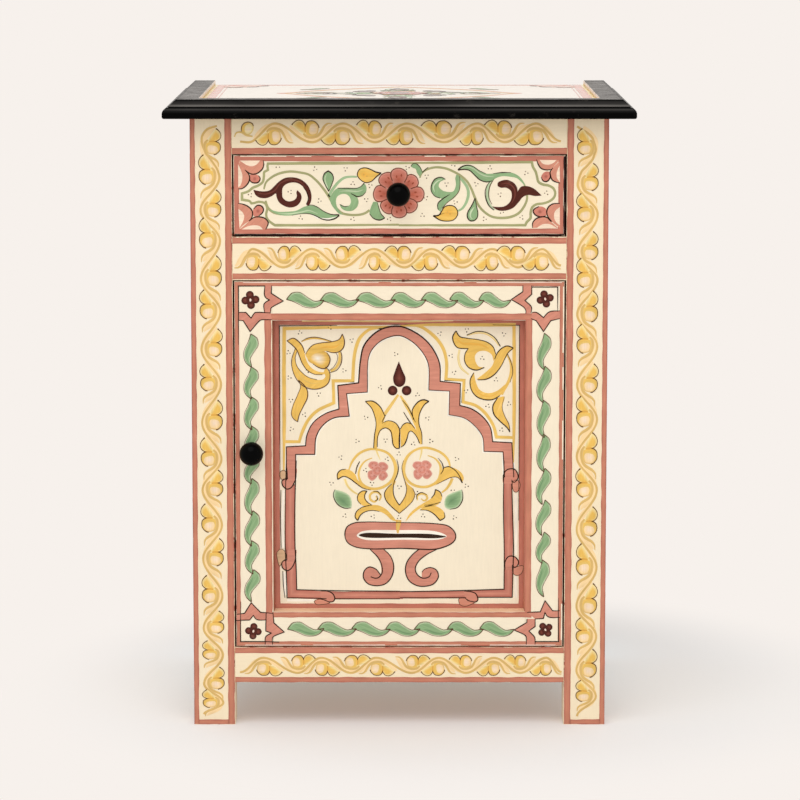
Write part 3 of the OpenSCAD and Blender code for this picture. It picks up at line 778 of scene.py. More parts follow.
frontPost, backPost = span("front_left_post", 1), span("back_left_post", 1)
sideLow, sideHigh = span("right_side_panel", 2)
for low, high in (frontPost, backPost):
    for edge in (low + 2.6, high - 3.2):
        stripe(sideStripes, (edge, 0.4), (edge, postTop), 5)
    stripe(sideStripes, (low + 5.1, 2.6), (high - 5.7, 2.6), 4.6)
frameOf(panelLines, frontPost[1] + 3, backPost[0] - 3, sideLow + 3, sideHigh - 3, 6)
for name, sheet, board in (("postSideStripes", sideStripes, ""), ("sidePanelLines", panelLines, "Panel")):
    mirrored = placed(sheet, across=(-1, 0))
    makePiece(name, "carcass", (sheet, "right" + board), (mirrored, "left" + board))

drawerLow, drawerHigh = span("drawer_front", 2)
drawerX = span("drawer_front", 0)[1]
drawerFrame = newSheet()
frameOf(drawerFrame, -drawerX + 0.5, drawerX - 1.7, drawerLow + 1.7, drawerHigh - 0.5, 4.9, "pinkBorder")
# Black strips along the right and lower edges of the drawer front: painted shadow of the gap round the
# drawer
for start, end, layer in (((drawerX - 0.8, drawerLow + 0.6), (drawerX - 0.8, drawerHigh - 0.8), 1),
                          ((-drawerX + 0.6, drawerLow + 0.8), (drawerX - 0.6, drawerLow + 0.8), 1.4)):
    stripe(drawerFrame, start, end, 1.5, "black", layer, "maroonDeep")
for start, end in marks(-304, -216, -200, -168, -124, -80, 48, 88, 192, 224):
    # Cream worn through along the top edge
    stripe(drawerFrame, (start, drawerHigh - 0.7), (end, drawerHigh - 0.7), 0.9, "cream", 2, "blush",
           shake=0.3)
makePiece("drawerBorder", "drawer", (drawerFrame, "front"))

doorLow, doorHigh = span("door_hinge_stile", 2)
doorX = span("door_hinge_stile", 0)[1]
doorFrame = newSheet()
frameOf(doorFrame, -doorX + 0.4, doorX - 0.4, doorLow + 0.4, doorHigh - 0.4, 4)
for height, wide in ((400.7, 6.4), (109.1, 5)):
    stripe(doorFrame, (-130.2, height), (128.4, height), wide, layer=1.3)
for x, wide in ((-126.5, 6.4), (124.7, 6.2)):
    stripe(doorFrame, (x, 107), (x, 403.6), wide)
for height, worn in ((doorHigh - 0.9, ((-150, -20), (-8, 62), (74, 156))),
                     (doorLow + 0.9, ((-150, -96), (-84, -14), (-2, 60), (88, 152)))):
    for start, end in worn:
        stripe(doorFrame, (start, height), (end, height), 1.2, "blush", 2, shake=0.4)
for low, high in ((84, 120), (262, 300), (330, 352), (366, 430)):
    stripe(doorFrame, (doorX - 0.9, low), (doorX - 0.9, high), 1.1, "cream", 2, "blush", shake=0.4)
makePiece("doorBorders", "door", (doorFrame, "front"))
panelFrame = newSheet()
frameOf(panelFrame, -121.3, 121.3, 112.6, 396.6, 5.2, "pinkBorder")
ink(panelFrame, [(-115.7, 240), (-115.7, 390.5), (-115.7, 390.5), (-60, 391)], (3, 7, 8, 3), gap=3)
ink(panelFrame, [(115.9, 200), (115.9, 391), (115.9, 391), (90, 391.5)], (3, 6, 8, 3), gap=3)
makePiece("panelBorder", "door", (panelFrame, "panel"))
print("Pink lines brushed")


# Leafy vine of the posts and rails. One pair of leaves opens upward, its deepest point at the origin.
def vinePair():
    sheet = newSheet()
    sweep = [(-16.4, 10.6), (-13.5, 7.7), (-10.9, 3.6), (-6.9, -1.1), (0, -2.7), (5.5, -2.2), (10.9, 1.8),
            (14.6, 5.5), (17.5, 8.8)]
    band(sheet, sweep, [1.4, 4.4, 5, 4.6, 4.4, 4.6, 5, 4.4, 2], "vineGlow", 1)
    curl = [(-5.5, 2.6), (-1.8, 0.7), (1.8, 0.7), (4, 3.3), (5.1, 6.9), (4.7, 9.9), (3.6, 12), (1.5, 13.7),
            (-1.1, 14.1), (-4, 12.4), (-6.2, 9.5), (-6.4, 6.9), (-6, 4.4)]
    blob(sheet, curl, "vineGlow", 2, centre=(-1.6, 6.4), heart="peachPale", rings=(0, 0.3, 0.7),
         edge="vineGold")
    band(sheet, [(-4.6, 11.4), (-2.6, 12.5), (-0.2, 12.4), (2, 11.2), (3.4, 8.2), (3.5, 4.4), (2.4, 1.8),
        (-1, 0.6), (-4, 2)], [0.6, 2.2, 3.6, 4.6, 4.6, 4, 3.2, 2, 0.8], "yellow", 2.6, "gold")
    leaf = [(4, 0.7), (7.7, 3.3), (12, 6.2), (15.9, 9.5), (15.9, 9.5), (14.6, 11.7), (12.8, 13.5),
            (10.2, 14.2), (7.7, 13.5), (5.8, 11.7), (5.1, 8.4), (4.4, 4.4)]
    blob(sheet, leaf, "yellow", 3, centre=(7.4, 9.8), heart="yellow", rings=(0, 0.5, 0.75), edge="goldPale")
    inner = [(-17.2, 12.2), (-13.5, 11.7), (-10.9, 9.3), (-8.8, 5.1), (-6.2, 1.3), (-2.6, -0.4),
        (1.1, -0.7), (4, 0.2), (6.2, 2.4)]
    band(sheet, inner, [0.6, 1.6, 2, 2.2, 2.4, 2.8, 2.8, 2.6, 1.4], "vineGold", 3.4, "stem")
    band(sheet, [(4.6, 3.5), (4.9, 7), (4.7, 10.8)], [1.2, 1.8, 1.4], "ochre", 4, "orange")
    for line, wide in (
            ([(-6.6, 7.8), (-6.1, 9.8), (-4.7, 11.8), (-2.6, 13.5), (0, 13.9), (2.6, 13.3), (4.2, 11.3),
                (4.9, 8.6)], (7, 6, 5, 5, 5.5, 5, 6.5, 3)),
            ([(4.9, 9.6), (5.7, 11.6), (7.3, 13.5), (9.9, 14.3), (12.6, 13.5), (14.6, 11.7), (16, 9.8)],
                (4, 5.5, 5, 5, 5, 5.5, 9))):
        ink(sheet, line, wide, "inkVine", gap=0.9)
    return sheet


# A pair is given by its notch, the way it opens, the side of its curl and its length
vineSizes = {"notch": 4.9, "ball": 1.0, "outer": 5.1, "lineWide": 2.2, "length": 22.6}


def waveLine(sheet, spots, upright, lead=()):
    # The stem that swings past every pair of leaves, rounded like a wave, after the drawn lead
    points = list(lead)
    for a, b in zip(spots, spots[1:]):
        for k in range(8):
            share = k / 8
            turn = (1 - math.cos(math.pi * share)) / 2
            points.append((a[0] + (b[0] - a[0]) * (turn if upright else share),
                           a[1] + (b[1] - a[1]) * (share if upright else turn)))
    points.append(spots[-1])
    band(sheet, points, [vineSizes["lineWide"]] * 3, "vineGold", 2, "stem", gap=1.5, shake=0.25)


def vineRail(sheet, middle, pairs, reach, tall, starts, ends):
    # pairs: notch along the rail, 1 for leaves that open upward or -1, 1 for a curl on the left or -1,
    # and length
    spots, found = [], []
    for x, way, side, length in sorted(pairs):
        size = length / vineSizes["length"]
        spots.append((x - side * (vineSizes["notch"] + vineSizes["ball"]) * size, middle - way * reach))
        start = middle - way * (reach - vineSizes["outer"] * tall)
        angle = (0 if way > 0 else 180) + seeded.uniform(-2, 2)
        found.append((x - side * vineSizes["notch"] * size, start, angle, size, tall, side * way < 0))
    waveLine(sheet, starts + spots + ends, False)
    return found


def vinePost(sheet, middle, slope, pairs, reach, lead, ends):
    # pairs: notch up the post, 1 for leaves that open to the right or -1, length; leaf above curl
    spots, found = [], []
    for z, way, length in sorted(pairs, reverse=True):
        size = length / vineSizes["length"]
        across = middle + slope * (z - 300)
        spots.append((across - way * reach, z - (vineSizes["notch"] + vineSizes["ball"]) * size))
        start = across - way * (reach - vineSizes["outer"])
        angle = (-90 if way > 0 else 90) + seeded.uniform(-2, 2)
        found.append((start, z - vineSizes["notch"] * size, angle, size, 1.04, way > 0))
    waveLine(sheet, spots[1:] + ends, True, lead)
    return found


def opened(way, *pairs):
    # Puts the way in which these pairs open after the notch of each
    return [(notch, way, *rest) for notch, *rest in pairs]


leftPairs = opened(1, (569.3, 25), (510, 26), (444.9, 29.5), (376, 27), (305.5, 29), (238.9, 25.5),
                   (171.4, 27), (101.7, 22), (46.1, 22))
leftPairs += opened(-1, (542.5, 28.5), (481.8, 29), (413.2, 28), (342.3, 26), (269.8, 28), (205.1, 28),
                    (134.6, 27), (74, 18.5), (26.2, 18))
rightPairs = opened(-1, (569, 25), (506.5, 27), (443.7, 28), (379.6, 28), (309, 30), (239.6, 28),
                    (163.8, 31), (93.8, 25), (33.3, 21))
rightPairs += opened(1, (535.2, 26), (469.4, 27), (410.9, 30), (341.8, 28), (272.7, 31), (201.4, 29),
                     (125.5, 30), (61.4, 28))
vineStems = newSheet()
leftArch = marks(-348, 1168, -356, 1166, -366, 1162, -373, 1155, -377, 1147, -377, 1137, -374, 1126,
    -369, 1116, -361, 1105, -354, 1095, -348, 1085)
rightArch = marks(339, 1167, 347, 1162, 354, 1158, 362, 1152, 368, 1146, 371, 1138, 374, 1130, 375, 1121,
    372, 1113, 369, 1104, 363, 1097, 356, 1089, 349, 1082)
postMarks = vinePost(vineStems, -181.1, 0, leftPairs, 9.2, leftArch, [(-190.7, 10.2)])
postMarks += vinePost(vineStems, 181, -0.004, rightPairs, 9.6, rightArch, [(173.3, 8.2)])
topPairs = opened(-1, (-125.1, -1, 24.5), (-60.9, -1, 27.5), (0.3, -1, 25.5), (68.5, -1, 22.5),
                  (123.2, -1, 28))
topPairs += opened(1, (-90.1, -1, 26), (-29.4, -1, 24), (35.2, -1, 29), (93.7, -1, 26))
middlePairs = opened(-1, (-134.6, 1, 24), (-78, 1, 23), (-19.1, 1, 20.5), (24, -1, 25), (83, -1, 23),
                     (130.4, -1, 25.5))
middlePairs += opened(1, (-105.3, 1, 22), (-48.8, 1, 24), (-1.4, -1, 25), (53.7, -1, 27),
                      (106.9, -1, 27))
bottomPairs = opened(-1, (-126.2, 1, 25), (-69.8, 1, 23.5), (-16.2, 1, 24), (32.4, -1, 23),
                     (86.5, -1, 22), (137.7, -1, 21))
bottomPairs += opened(1, (-93, 1, 23), (-40.5, 1, 25), (18.4, 1, 23), (59.4, -1, 22), (112.5, -1, 21))
railMarks = vineRail(vineStems, 577.4, topPairs, 8.9, 1.07, [(-152, 569), (-144, 568.4)], [(154.1, 569.3)])
railMarks += vineRail(vineStems, 457.3, middlePairs, 8.8, 1.07, [(-153.6, 449)], [(154.9, 450.4)])
railMarks += vineRail(vineStems, 58.9, bottomPairs, 7.5, 0.92, [(-155.3, 52)], [(158, 52.1)])
firstCurl = [(-150.6, 578.8), (-150.6, 582.6), (-148.2, 586.4), (-144.3, 587.7), (-140.5, 586.4),
    (-139.1, 584.1)]
blob(vineStems, firstCurl + [(-139.6, 579.5), (-143, 575.6), (-147.4, 575.8)], "goldPale", 3,
    centre=(-143.6, 580.4), heart="peachPale", rings=(0, 0.4, 0.7), edge="gold")
band(vineStems, [(-144, 574), (-148.4, 577.4), (-149.2, 582), (-146.8, 585.6), (-143.4, 586.4)],
    [1, 2.6, 3.4, 2.8, 0.8], "yellow", 4, "gold")
band(vineStems, [(-157.4, 573.6), (-155.4, 577.4), (-151, 578), (-146, 575.2), (-140, 574)],
    [1, 1.4, 1.8, 2, 1.4], "gold", 4.6, "stem")
ink(vineStems, firstCurl, (5, 6, 6, 6, 7, 7), "inkVine", gap=0.9)
makePiece("vineStems", "carcass", (vineStems, "front"))
pairMotif = vinePair()
scatter("postVineLeaves", "carcass", "front", pairMotif, postMarks)
scatter("railVineLeaves", "carcass", "front", pairMotif, railMarks)
print("Vines painted")


# Corner squares of the door: a divider beside and one below, each with an arrow point, and a rosette.
# Each has the outer and inner edge of the two dividers, then the ink line of the square.
corners = [
    (marks(-245, 862, bend, -246, 847, bend, -223, 832, bend, -247, 818, -247, 815, -248, 809, bend),
        marks(-258, 862, bend, -259, 844, -256, 838, -249, 834, bend, -255, 831, -260, 826, -259, 809,
        bend), marks(-309, 795, bend, -300, 794, bend, -287, 773, bend, -267, 795, -262, 796, -245, 796,
        bend), marks(-309, 810, bend, -295, 810, bend, -285, 799, bend, -278, 809, -275, 810, -247, 809,
        bend), marks(-310, 747, -309, 809, -309, 861, bend, -258, 861, bend)),
    (marks(237, 862, bend, 237, 850, bend, 215, 835, bend, 240, 819, 243, 813, 243, 808, bend),
        marks(254, 862, bend, 254, 845, bend, 241, 833, bend, 252, 823, 254, 819, 253, 809, bend),
        marks(253, 798, bend, 263, 794, bend, 277, 773, bend, 291, 794, bend, 308, 798, bend),
        marks(255, 810, bend, 263, 810, 277, 800, bend, 285, 809, 291, 812, 308, 813, bend), marks(304, 811,
        304, 836, 304, 859, bend, 254, 859, bend)),
    (marks(-246, 223, bend, -244, 202, bend, -224, 184, bend, -245, 175, -247, 172, -247, 159, bend),
        marks(-259, 223, bend, -260, 186, bend, -249, 182, bend, -259, 176, -261, 172, -261, 159, bend),
        marks(-316, 219, bend, -301, 221, bend, -288, 242, bend, -270, 223, bend, -246, 221, bend),
        marks(-317, 207, bend, -291, 208, bend, -284, 217, bend, -279, 210, -274, 208, -259, 208, bend),
        marks(-308, 244, -309, 206, -309, 165, bend, -261, 165, bend, -234, 164)),
    (marks(248, 210, bend, 248, 203, bend, 223, 188, bend, 244, 178, 247, 174, 247, 159, bend),
        marks(264, 210, bend, 264, 195, bend, 252, 186, bend, 263, 174, 264, 170, 264, 159, bend),
        marks(248, 223, bend, 274, 224, bend, 283, 246, bend, 298, 226, bend, 312, 226, bend),
        marks(264, 210, bend, 280, 211, bend, 283, 223, bend, 287, 216, 293, 213, 312, 213, bend),
        marks(309, 251, 309, 213, 310, 165, bend, 264, 165, bend)),
]
cornerShapes = newSheet()
for besideOut, besideIn, belowOut, belowIn, square in corners:
    for layer, outer, inner in ((3, besideOut, besideIn), (3.3, belowOut, belowIn)):
        blob(cornerShapes, outer + inner[::-1], "pink", layer, flow=0.6)
        for edge in (outer, inner):
            ink(cornerShapes, edge, (5.5, 8.5, 7, 8, 5), gap=1.0)
    ink(cornerShapes, square, (3, 7.5, 8, 7), gap=2)
makePiece("doorCornerSquares", "door", (cornerShapes, "front"))


def rosette():
    sheet = newSheet()
    for turn in range(4):
        a = math.radians(90 * turn + 6)
        middle = aim(a) * 4.6
        ring = [middle + aim(a + t * 0.7854) * 3.5 for t in range(8)]
        blob(sheet, ring, "maroon", 3 + turn * 0.3, centre=middle, heart="maroonPale",
             rings=(0, 0.3, 0.7), edge="maroonDeep", gap=1.0)
    blob(sheet, circle((0, 0), 3.6), "maroon", 4.6, centre=(0, 0), heart="maroon", rings=(0, 0.4, 0.8))
    ring = [(0.9 * math.cos(t * 1.0472), 1.4 * math.sin(t * 1.0472)) for t in range(6)]
    blob(sheet, ring, "blush", 5.6, gap=0.8)
    return sheet


scatter("doorRosettes", "door", "front", rosette(), [
    (-143, 417, 0, 1.08, 1.08, False), (140, 418, 20, 1.04, 1.04, True),
    (-142, 92.8, -12, 1.0, 1.0, False), (142, 94.2, 30, 0.96, 0.96, False)])


# Twisted ribbon of leaves round the door
def twistLeaf():
    sheet = newSheet()
    fill = marks(-90, 1, bend, -80, 14, -67, 27, -47, 33, -25, 32, -3, 18, 22, 3, 46, -8, 69, -5, 89, 0,
        bend, 78, -13, 63, -24, 41, -32, 17, -32, -8, -27, -35, -14, -62, -5, unit=0.2)
    blob(sheet, fill, "green", 2, flow=-0.4, gap=1.0)
    shine = marks(-76, 12, -63, 25, -47, 30, -25, 28, -4, 15, 19, 1, 46, -10, 75, -5, unit=0.2)
    band(sheet, shine, [0.3, 1.3, 1, 0.8, 0.9, 1.1, 1.4, 0.3], "greenPale", 3, "green", gap=1.5)
    dark = marks(-49, 0, -25, -7, 2, -18, 31, -23, 56, -17, unit=0.2)
    band(sheet, dark, [0.4, 1.8, 2.4, 1.8, 0.4], "greenDeep", 3, "green", gap=1.5)
    upper = marks(-92, 1, -81, 16, -68, 30, -47, 36, -24, 34, -2, 21, 22, 6, 46, -5, 71, -2, 91, 0,
        unit=0.2)
    ink(sheet, upper, (7, 5, 3, 3, 3, 4.5, 8), "inkSoft", layer=5, gap=1.0)
    lower = marks(91, 0, 79, -15, 64, -27, 41, -35, 17, -36, -9, -31, -36, -18, -63, -7, -92, 1, unit=0.2)
    ink(sheet, lower, (8, 5, 3.5, 3, 4, 6), "inkSoft", layer=5, gap=1.0)
    return sheet


leafSpots = []
for height, drawn, wide, ends in (
        (417, 36, 1.04, ((-108, -72.5), (-75.5, -39), (-41.5, -4), (-8, 25.5), (21.5, 56), (48.5, 81),
                         (76.5, 107))),
        (95, 36, 1, ((-108.5, -73.5), (-79, -42), (-46, -9), (-13, 20), (15, 52), (47, 81.5),
                     (78.5, 111.5)))):
    for start, end in ends:
        turn = seeded.uniform(-2, 2)
        leafSpots.append(((start + end) / 2, height, turn, (end - start) / drawn, wide, False))
for x, drawn, wide, ends in (
        (-142.7, 35, 1, ((383.5, 352.5), (351.5, 321.5), (322.5, 291.5), (294, 263), (266, 238.5),
                         (242.5, 208), (211, 177.5), (181.5, 150), (153, 122.5))),
        (139.3, 36, 0.94, ((384.5, 349.5), (352.5, 317.5), (319.5, 283.5), (286.5, 250), (253, 218),
                           (222, 187.5), (190.5, 160), (163, 127)))):
    for top, end in ends:
        turn = -90 + seeded.uniform(-5, 3)
        leafSpots.append((x, (top + end) / 2, turn, (top - end) / drawn, wide, False))
scatter("doorLeaves", "door", "front", twistLeaf(), leafSpots)
print("Door frame painted")


# Stepped arch of the panel, its link border and the yellow line that follows it
archOut = marks(-219, 479, bend, -219, 545, bend, -182, 547, bend, -179, 568, -167, 592, -143, 610,
    -117, 619, bend, -119, 665, bend, -79, 670, bend, -75, 715, -69, 741, -54, 761, -31, 776, 1, 780,
    31, 768, 54, 750, 69, 729, 78, 706, 79, 673, bend, 118, 669, bend, 117, 626, bend, 140, 619, 161, 604,
    176, 583, 181, 555, bend, 218, 553, bend, 222, 485, bend)
archIn = marks(-202, 479, bend, -201, 530, bend, -164, 530, bend, -161, 565, -149, 586, -128, 601, -97, 605,
    bend, -102, 649, bend, -62, 652, bend, -59, 721, -48, 741, -28, 756, 0, 762, 25, 750, 45, 729, 56, 706,
    57, 656, bend, 97, 654, bend, 96, 608, bend, 126, 601, 146, 586, 161, 565, 164, 536, bend, 201, 535,
    bend, 204, 485, bend)
arch = newSheet()
ribbon(arch, archOut, [3.6, 3.6], "creamPale", 1, gap=1.5)
ribbon(arch, archIn, [3.2, 3.2], "creamPale", 1.2, gap=1.5)
blob(arch, archOut + archIn[::-1], "pink", 2, gap=1.5)
for strip in (
        marks(-225, 460, -227, 402, -226, 346),
        marks(-224, 298, -223, 272, -222, 253, bend, -222, 253),
        marks(-219, 242, -191, 242, -166, 242),
        marks(226, 453, 227, 402, 227, 332),
        marks(227, 289, 227, 264, 227, 247)):
    ribbon(arch, strip, [2.4, 2.4], "creamPale", 1.4)
band(arch, marks(-209, 481, bend, -211, 483, -212, 430, -213, 378, -211, 321, -209, 255, bend, -170, 253,
    -132, 252, -59, 252, 7, 252), [9.6, 9.4, 9, 7.2, 7.4], "pink", 2.4, "pinkDeep", shake=0.3)
band(arch, marks(-2, 253, 71, 253, 140, 255, 212, 256, bend, 212, 307, 212, 378, 211, 448, 212, 497, bend),
    [7.4, 7.2, 7.6, 8.6, 8.2], "pink", 2.7, "pinkDeep", shake=0.3)
ink(arch, archOut, (6, 8, 7.5, 9, 11.5, 12, 10, 7.5, 9, 8, 7))
ink(arch, archIn, (6, 8, 8, 6, 5, 7, 6, 5, 4.5, 6, 8))
for line, wide in (
        (marks(-200, 518, -203, 430, -203, 349, -201, 307, -200, 263, bend, -114, 261, 1, 260, bend),
            (8, 9, 8, 7, 8)),
        (marks(1, 259, 106, 261, 204, 264, bend, 204, 342, 202, 430, 203, 518), (7, 8, 8, 7, 6)),
        (marks(-219, 518, -221, 460, -222, 402, -222, 342, -220, 293, -219, 247, bend, -156, 246,
            -142, 245), (7, 6, 8, 8, 7)),
        (marks(-126, 245, -45, 245, 1, 245), (8, 6, 6)),
        (marks(1, 247, 71, 247, 130, 247), (6, 7, 8)),
        (marks(151, 248, 186, 248, 220, 248, bend, 221, 293, 222, 342, 220, 413, 218, 473),
            (7, 7, 9, 8, 8)),
        (marks(-230, 460, -231, 402, -230, 346), (5, 7, 5)),
        (marks(-227, 300, -226, 272, -223, 247), (6, 7, 5))):
    ink(arch, line, wide, gap=2)
# The rounded end of one link, and the tail of the next that it holds
links = [
    (marks(-200, 504, -201, 483, -205, 473, -210, 465, -218, 462, -226, 468, -228, 477, -225, 481,
        -217, 482, bend, -218, 504, bend), marks(-233, 492, -226, 499, -221, 497, -220, 488, -222, 482,
        -226, 479, -230, 483)),
    (marks(-201, 342, -202, 326, -205, 315, -211, 305, -219, 301, -227, 306, -229, 315, -226, 320,
        -219, 322, bend, -219, 342, bend), marks(-238, 337, -230, 344, -223, 339, -220, 330, -222, 324,
        -227, 319, -233, 310, -237, 321)),
    (marks(-153, 260, -139, 260, -130, 255, -126, 246, -129, 240, -137, 239, -144, 242, -153, 245, bend),
        marks(-166, 240, -158, 244, -149, 243, -140, 240, -136, 237, -149, 234, -162, 234)),
    (marks(202, 473, 202, 490, 209, 500, 223, 501, 230, 490, 229, 481, 222, 475, 218, 480, 219, 473, bend),
        marks(220, 476, 228, 480, 234, 473, 234, 466, 228, 456, 222, 458)),
    (marks(206, 303, 206, 319, 213, 329, 225, 328, 232, 318, 229, 310, 224, 307, 220, 312, 220, 303, bend),
        marks(221, 307, 229, 309, 241, 310, 238, 296, 229, 291, 222, 295)),
    (marks(126, 260, 140, 259, 149, 255, 153, 243, 149, 239, 140, 240, 133, 242, 128, 247, bend),
        marks(116, 245, 126, 247, 137, 241, 147, 238, 140, 234, 128, 230, 118, 234)),
]
for index, (end, tail) in enumerate(links):
    blob(arch, tail, "tan" if index < 2 else "peach", 3)
    ink(arch, tail, (4, 5, 4), "inkSoft", closed=True, layer=5, gap=1)
    blob(arch, end, "pink", 4)
    ink(arch, end, (3, 8, 9, 9, 7, 4), gap=1)
makePiece("archBand", "door", (arch, "panel"))

archLine = newSheet()
lineLeft = marks(-31, 778, -57, 774, -75, 759, -84, 738, -88, 715, -90, 674, bend, -128, 674, bend,
    -127, 631, bend, -158, 616, -176, 598, -188, 574, -194, 555, bend, -221, 555, bend)
lineRight = marks(10, 782, 39, 780, 66, 762, 84, 738, 91, 712, 90, 677, bend, 125, 675, bend, 123, 633,
    bend, 149, 625, 167, 610, 182, 586, 188, 564, bend, 220, 563, bend)
for line in (lineLeft, lineRight):
    band(archLine, line, [2.4, 3.4, 3.2, 3, 3.2, 3.2, 2.8], "yellow", 1, "gold", shake=0.2)
band(archLine, marks(-224, 499, -223, 601, -223, 691, -222, 776, bend, -128, 778, -39, 779, -1, 780),
    [1.6, 3.6, 3.8, 3.6, 3.2, 2.6, 1.6], "yellow", 1.4, "gold", shake=0.2)
band(archLine, marks(1, 781, 60, 783, 149, 783, 221, 783, bend, 222, 691, 222, 601, 221, 514),
    [1.6, 3, 3.4, 3.4, 3.6, 3.4, 1.6], "yellow", 1.4, "gold", shake=0.2)
band(archLine, [(-94, 395.4), (-40, 395.9), (28, 395.2), (52, 395.6)], [1.2, 3.4, 3, 0.8], "goldPale", 2.2,
    "gold", shake=0.3)
makePiece("archYellowLine", "door", (archLine, "panel"))
print("Arch painted")


# Scrolls in the two spandrels over the arch
leftScroll = newSheet()
band(leftScroll, marks(-189, 750, -178, 755, -164, 757, -149, 755, -133, 750), [0.8, 1.6, 1.8, 1.4, 0.8],
    "yellow", 1.5, "ochre")
ink(leftScroll, marks(-189, 751, -178, 757, -163, 759, -147, 756, -131, 751), (3, 6, 6, 4), "inkSoft")
band(leftScroll, marks(-116, 730, -115, 721, -117, 709, -124, 698, -133, 693), [2.2, 2.8, 3, 2.6, 2],
    "yellow", 1.6, "gold")
ink(leftScroll, marks(-113, 731, -111, 721, -113, 707, -121, 695, -134, 690), (5, 8, 6, 5), "inkSoft")
ink(leftScroll, marks(-122, 728, -119, 721, -122, 709, -128, 700, -136, 694), (3, 4, 4, 3), "inkSoft")
rim = marks(-201, 737, -206, 721, -207, 703, -202, 685, -190, 669, -176, 661, -158, 658, -143, 663,
    -135, 676, -135, 689, -142, 700, bend, -146, 691, -143, 683, -147, 677, -159, 676, -176, 681, -189, 691,
    -198, 703, -201, 718, -198, 731)
blob(leftScroll, rim, "yellow", 2, flow=0.7)
band(leftScroll, marks(-203, 729, -204, 709, -197, 691, -183, 675, -167, 669, -150, 672),
    [0.5, 1.2, 1.6, 1.2, 0.6], "gold", 2.5, "yellow")
ink(leftScroll, marks(-201, 737, -208, 715, -206, 694, -198, 676, -186, 664, -170, 658, -151, 660,
    -138, 669, -134, 683, -136, 694, -143, 701), (4, 6, 5, 6, 8, 7, 5), "inkSoft")
ink(leftScroll, rim[20:14:-1], (3, 5, 3), "inkSoft")
patch(leftScroll, marks(-217, 752, bend, -205, 757, -195, 751, -187, 741, -183, 729, -181, 718, -176, 707,
    -167, 697, -153, 691, -141, 691, bend, -149, 686, -164, 687, -177, 694, -187, 707, -193, 722, -198, 734,
    -206, 743), "yellow", 3, 0.7, [(0, 5, (5, 8, 8, 5)), (0, -7, (6, 8, 7, 6, 5, 4))], "inkSoft")
rim = marks(-140, 729, -134, 719, -136, 706, -144, 698, -156, 700, -167, 707, -175, 712, -178, 722,
    -172, 732, -158, 734)
blob(leftScroll, rim, "yellow", 3.4, centre=(-79, 359), heart="creamPale", rings=(0, 0.3, 0.55, 0.85),
    edge="ochre")
ink(leftScroll, rim[:6], (4, 7, 9, 7, 3), "inkSoft")
rim = marks(-110, 765, bend, -106, 752, -108, 739, -116, 731, -128, 729, -141, 732, -156, 730, -167, 725,
    -176, 715, bend, -181, 726, -175, 736, -166, 744, -150, 748, -131, 750, -116, 755)
blob(leftScroll, rim, "yellow", 4)
band(leftScroll, marks(-113, 747, -125, 740, -141, 740, -159, 737), [0.5, 3.6, 3.2, 0.5], "orange", 4.5,
    "yellow")
ink(leftScroll, rim[:7], (6, 9, 8, 7, 4), "inkSoft")
ink(leftScroll, part(rim, 0, -6), (8, 6, 7, 6, 6, 4), "inkSoft")
patch(leftScroll, marks(-195, 675, bend, -191, 664, -197, 646, -206, 625, -209, 609, -205, 600, -197, 594,
    bend, -194, 607, -186, 624, -178, 641, -178, 655, -184, 665), "yellow", 3, 1.4, [(0, 7, (4, 5, 4, 6)),
    (7, 14, (8, 6, 8, 7, 9))], "inkSoft")

rightScroll = newSheet()
band(rightScroll, marks(131, 762, 149, 768, 166, 767, 181, 758, 193, 743), [0.8, 2.2, 2.6, 2.4, 1.6],
    "goldPale", 1.5, "yellow")
ink(rightScroll, marks(130, 763, 149, 770, 168, 768, 184, 758, 195, 741), (6, 7, 6, 8))
band(rightScroll, marks(116, 735, 114, 718, 119, 700, 134, 686), [1.6, 2.2, 2.2, 1.2], "goldPale", 1.5,
    "gold")
band(rightScroll, marks(208, 725, 215, 709, 216, 691, 211, 673, 202, 656, 198, 647),
    [1.6, 2.6, 3, 3, 3, 2.4], "yellow", 1.6, "gold")
ink(rightScroll, marks(209, 726, 216, 709, 219, 691, 214, 671), (5, 6, 3), "inkSoft")
rim = marks(144, 690, bend, 137, 676, 139, 657, 150, 643, 167, 637, 182, 638, 194, 645, 206, 658, 213, 674,
    bend, 202, 665, 188, 654, 170, 650, 155, 657, 148, 671)
blob(rightScroll, rim, "yellow", 2, flow=0.5)
band(rightScroll, marks(142, 676, 146, 659, 158, 647, 176, 644, 191, 650), [0.5, 1.6, 2, 1.6, 0.5],
    "orange", 2.4, "yellow")
ink(rightScroll, rim[:8], (6, 7, 7, 8, 9, 6))
patch(rightScroll, marks(220, 738, bend, 208, 742, 197, 737, 189, 728, 184, 716, 179, 703, 167, 691,
    149, 677, bend, 167, 678, 182, 686, 196, 703, 205, 721), "yellow", 3, 1.0, [(0, 5, (8, 8, 8, 5)),
    (marks(220, 738, 210, 729, 205, 720, 196, 702, 182, 685, 167, 677, 151, 676), (7, 6, 5, 8, 9, 5))])
rim = marks(109, 771, bend, 103, 760, 105, 748, 112, 739, 123, 737, 133, 737, 127, 727, 126, 713, 134, 700,
    149, 695, 164, 700, bend, 153, 702, 147, 712, 146, 723, 153, 731, 167, 732, 178, 725, 182, 712, bend,
    186, 726, 181, 740, 170, 749, 153, 754, 131, 757, 117, 760)
blob(rightScroll, rim, "yellow", 3.4, flow=0.2)
band(rightScroll, marks(111, 755, 122, 747, 140, 746, 158, 744, 173, 737), [1, 3.4, 4, 3.4, 1], "orange",
    3.9, "yellow")
ink(rightScroll, rim[:7], (7, 9, 8, 7, 7, 5), layer=7)
ink(rightScroll, part(rim, 0, -6), (8, 7, 5, 6, 7, 5), layer=7)
ink(rightScroll, rim[6:12], (6, 6, 7, 9, 7), layer=7)
rim = marks(190, 641, bend, 181, 625, 183, 609, 194, 596, 209, 582, 214, 574, bend, 212, 589, 204, 605,
    199, 622, 203, 643)
patch(rightScroll, rim, "yellow", 3, 1.2, [(0, 6, (6, 9, 9, 8, 9))])
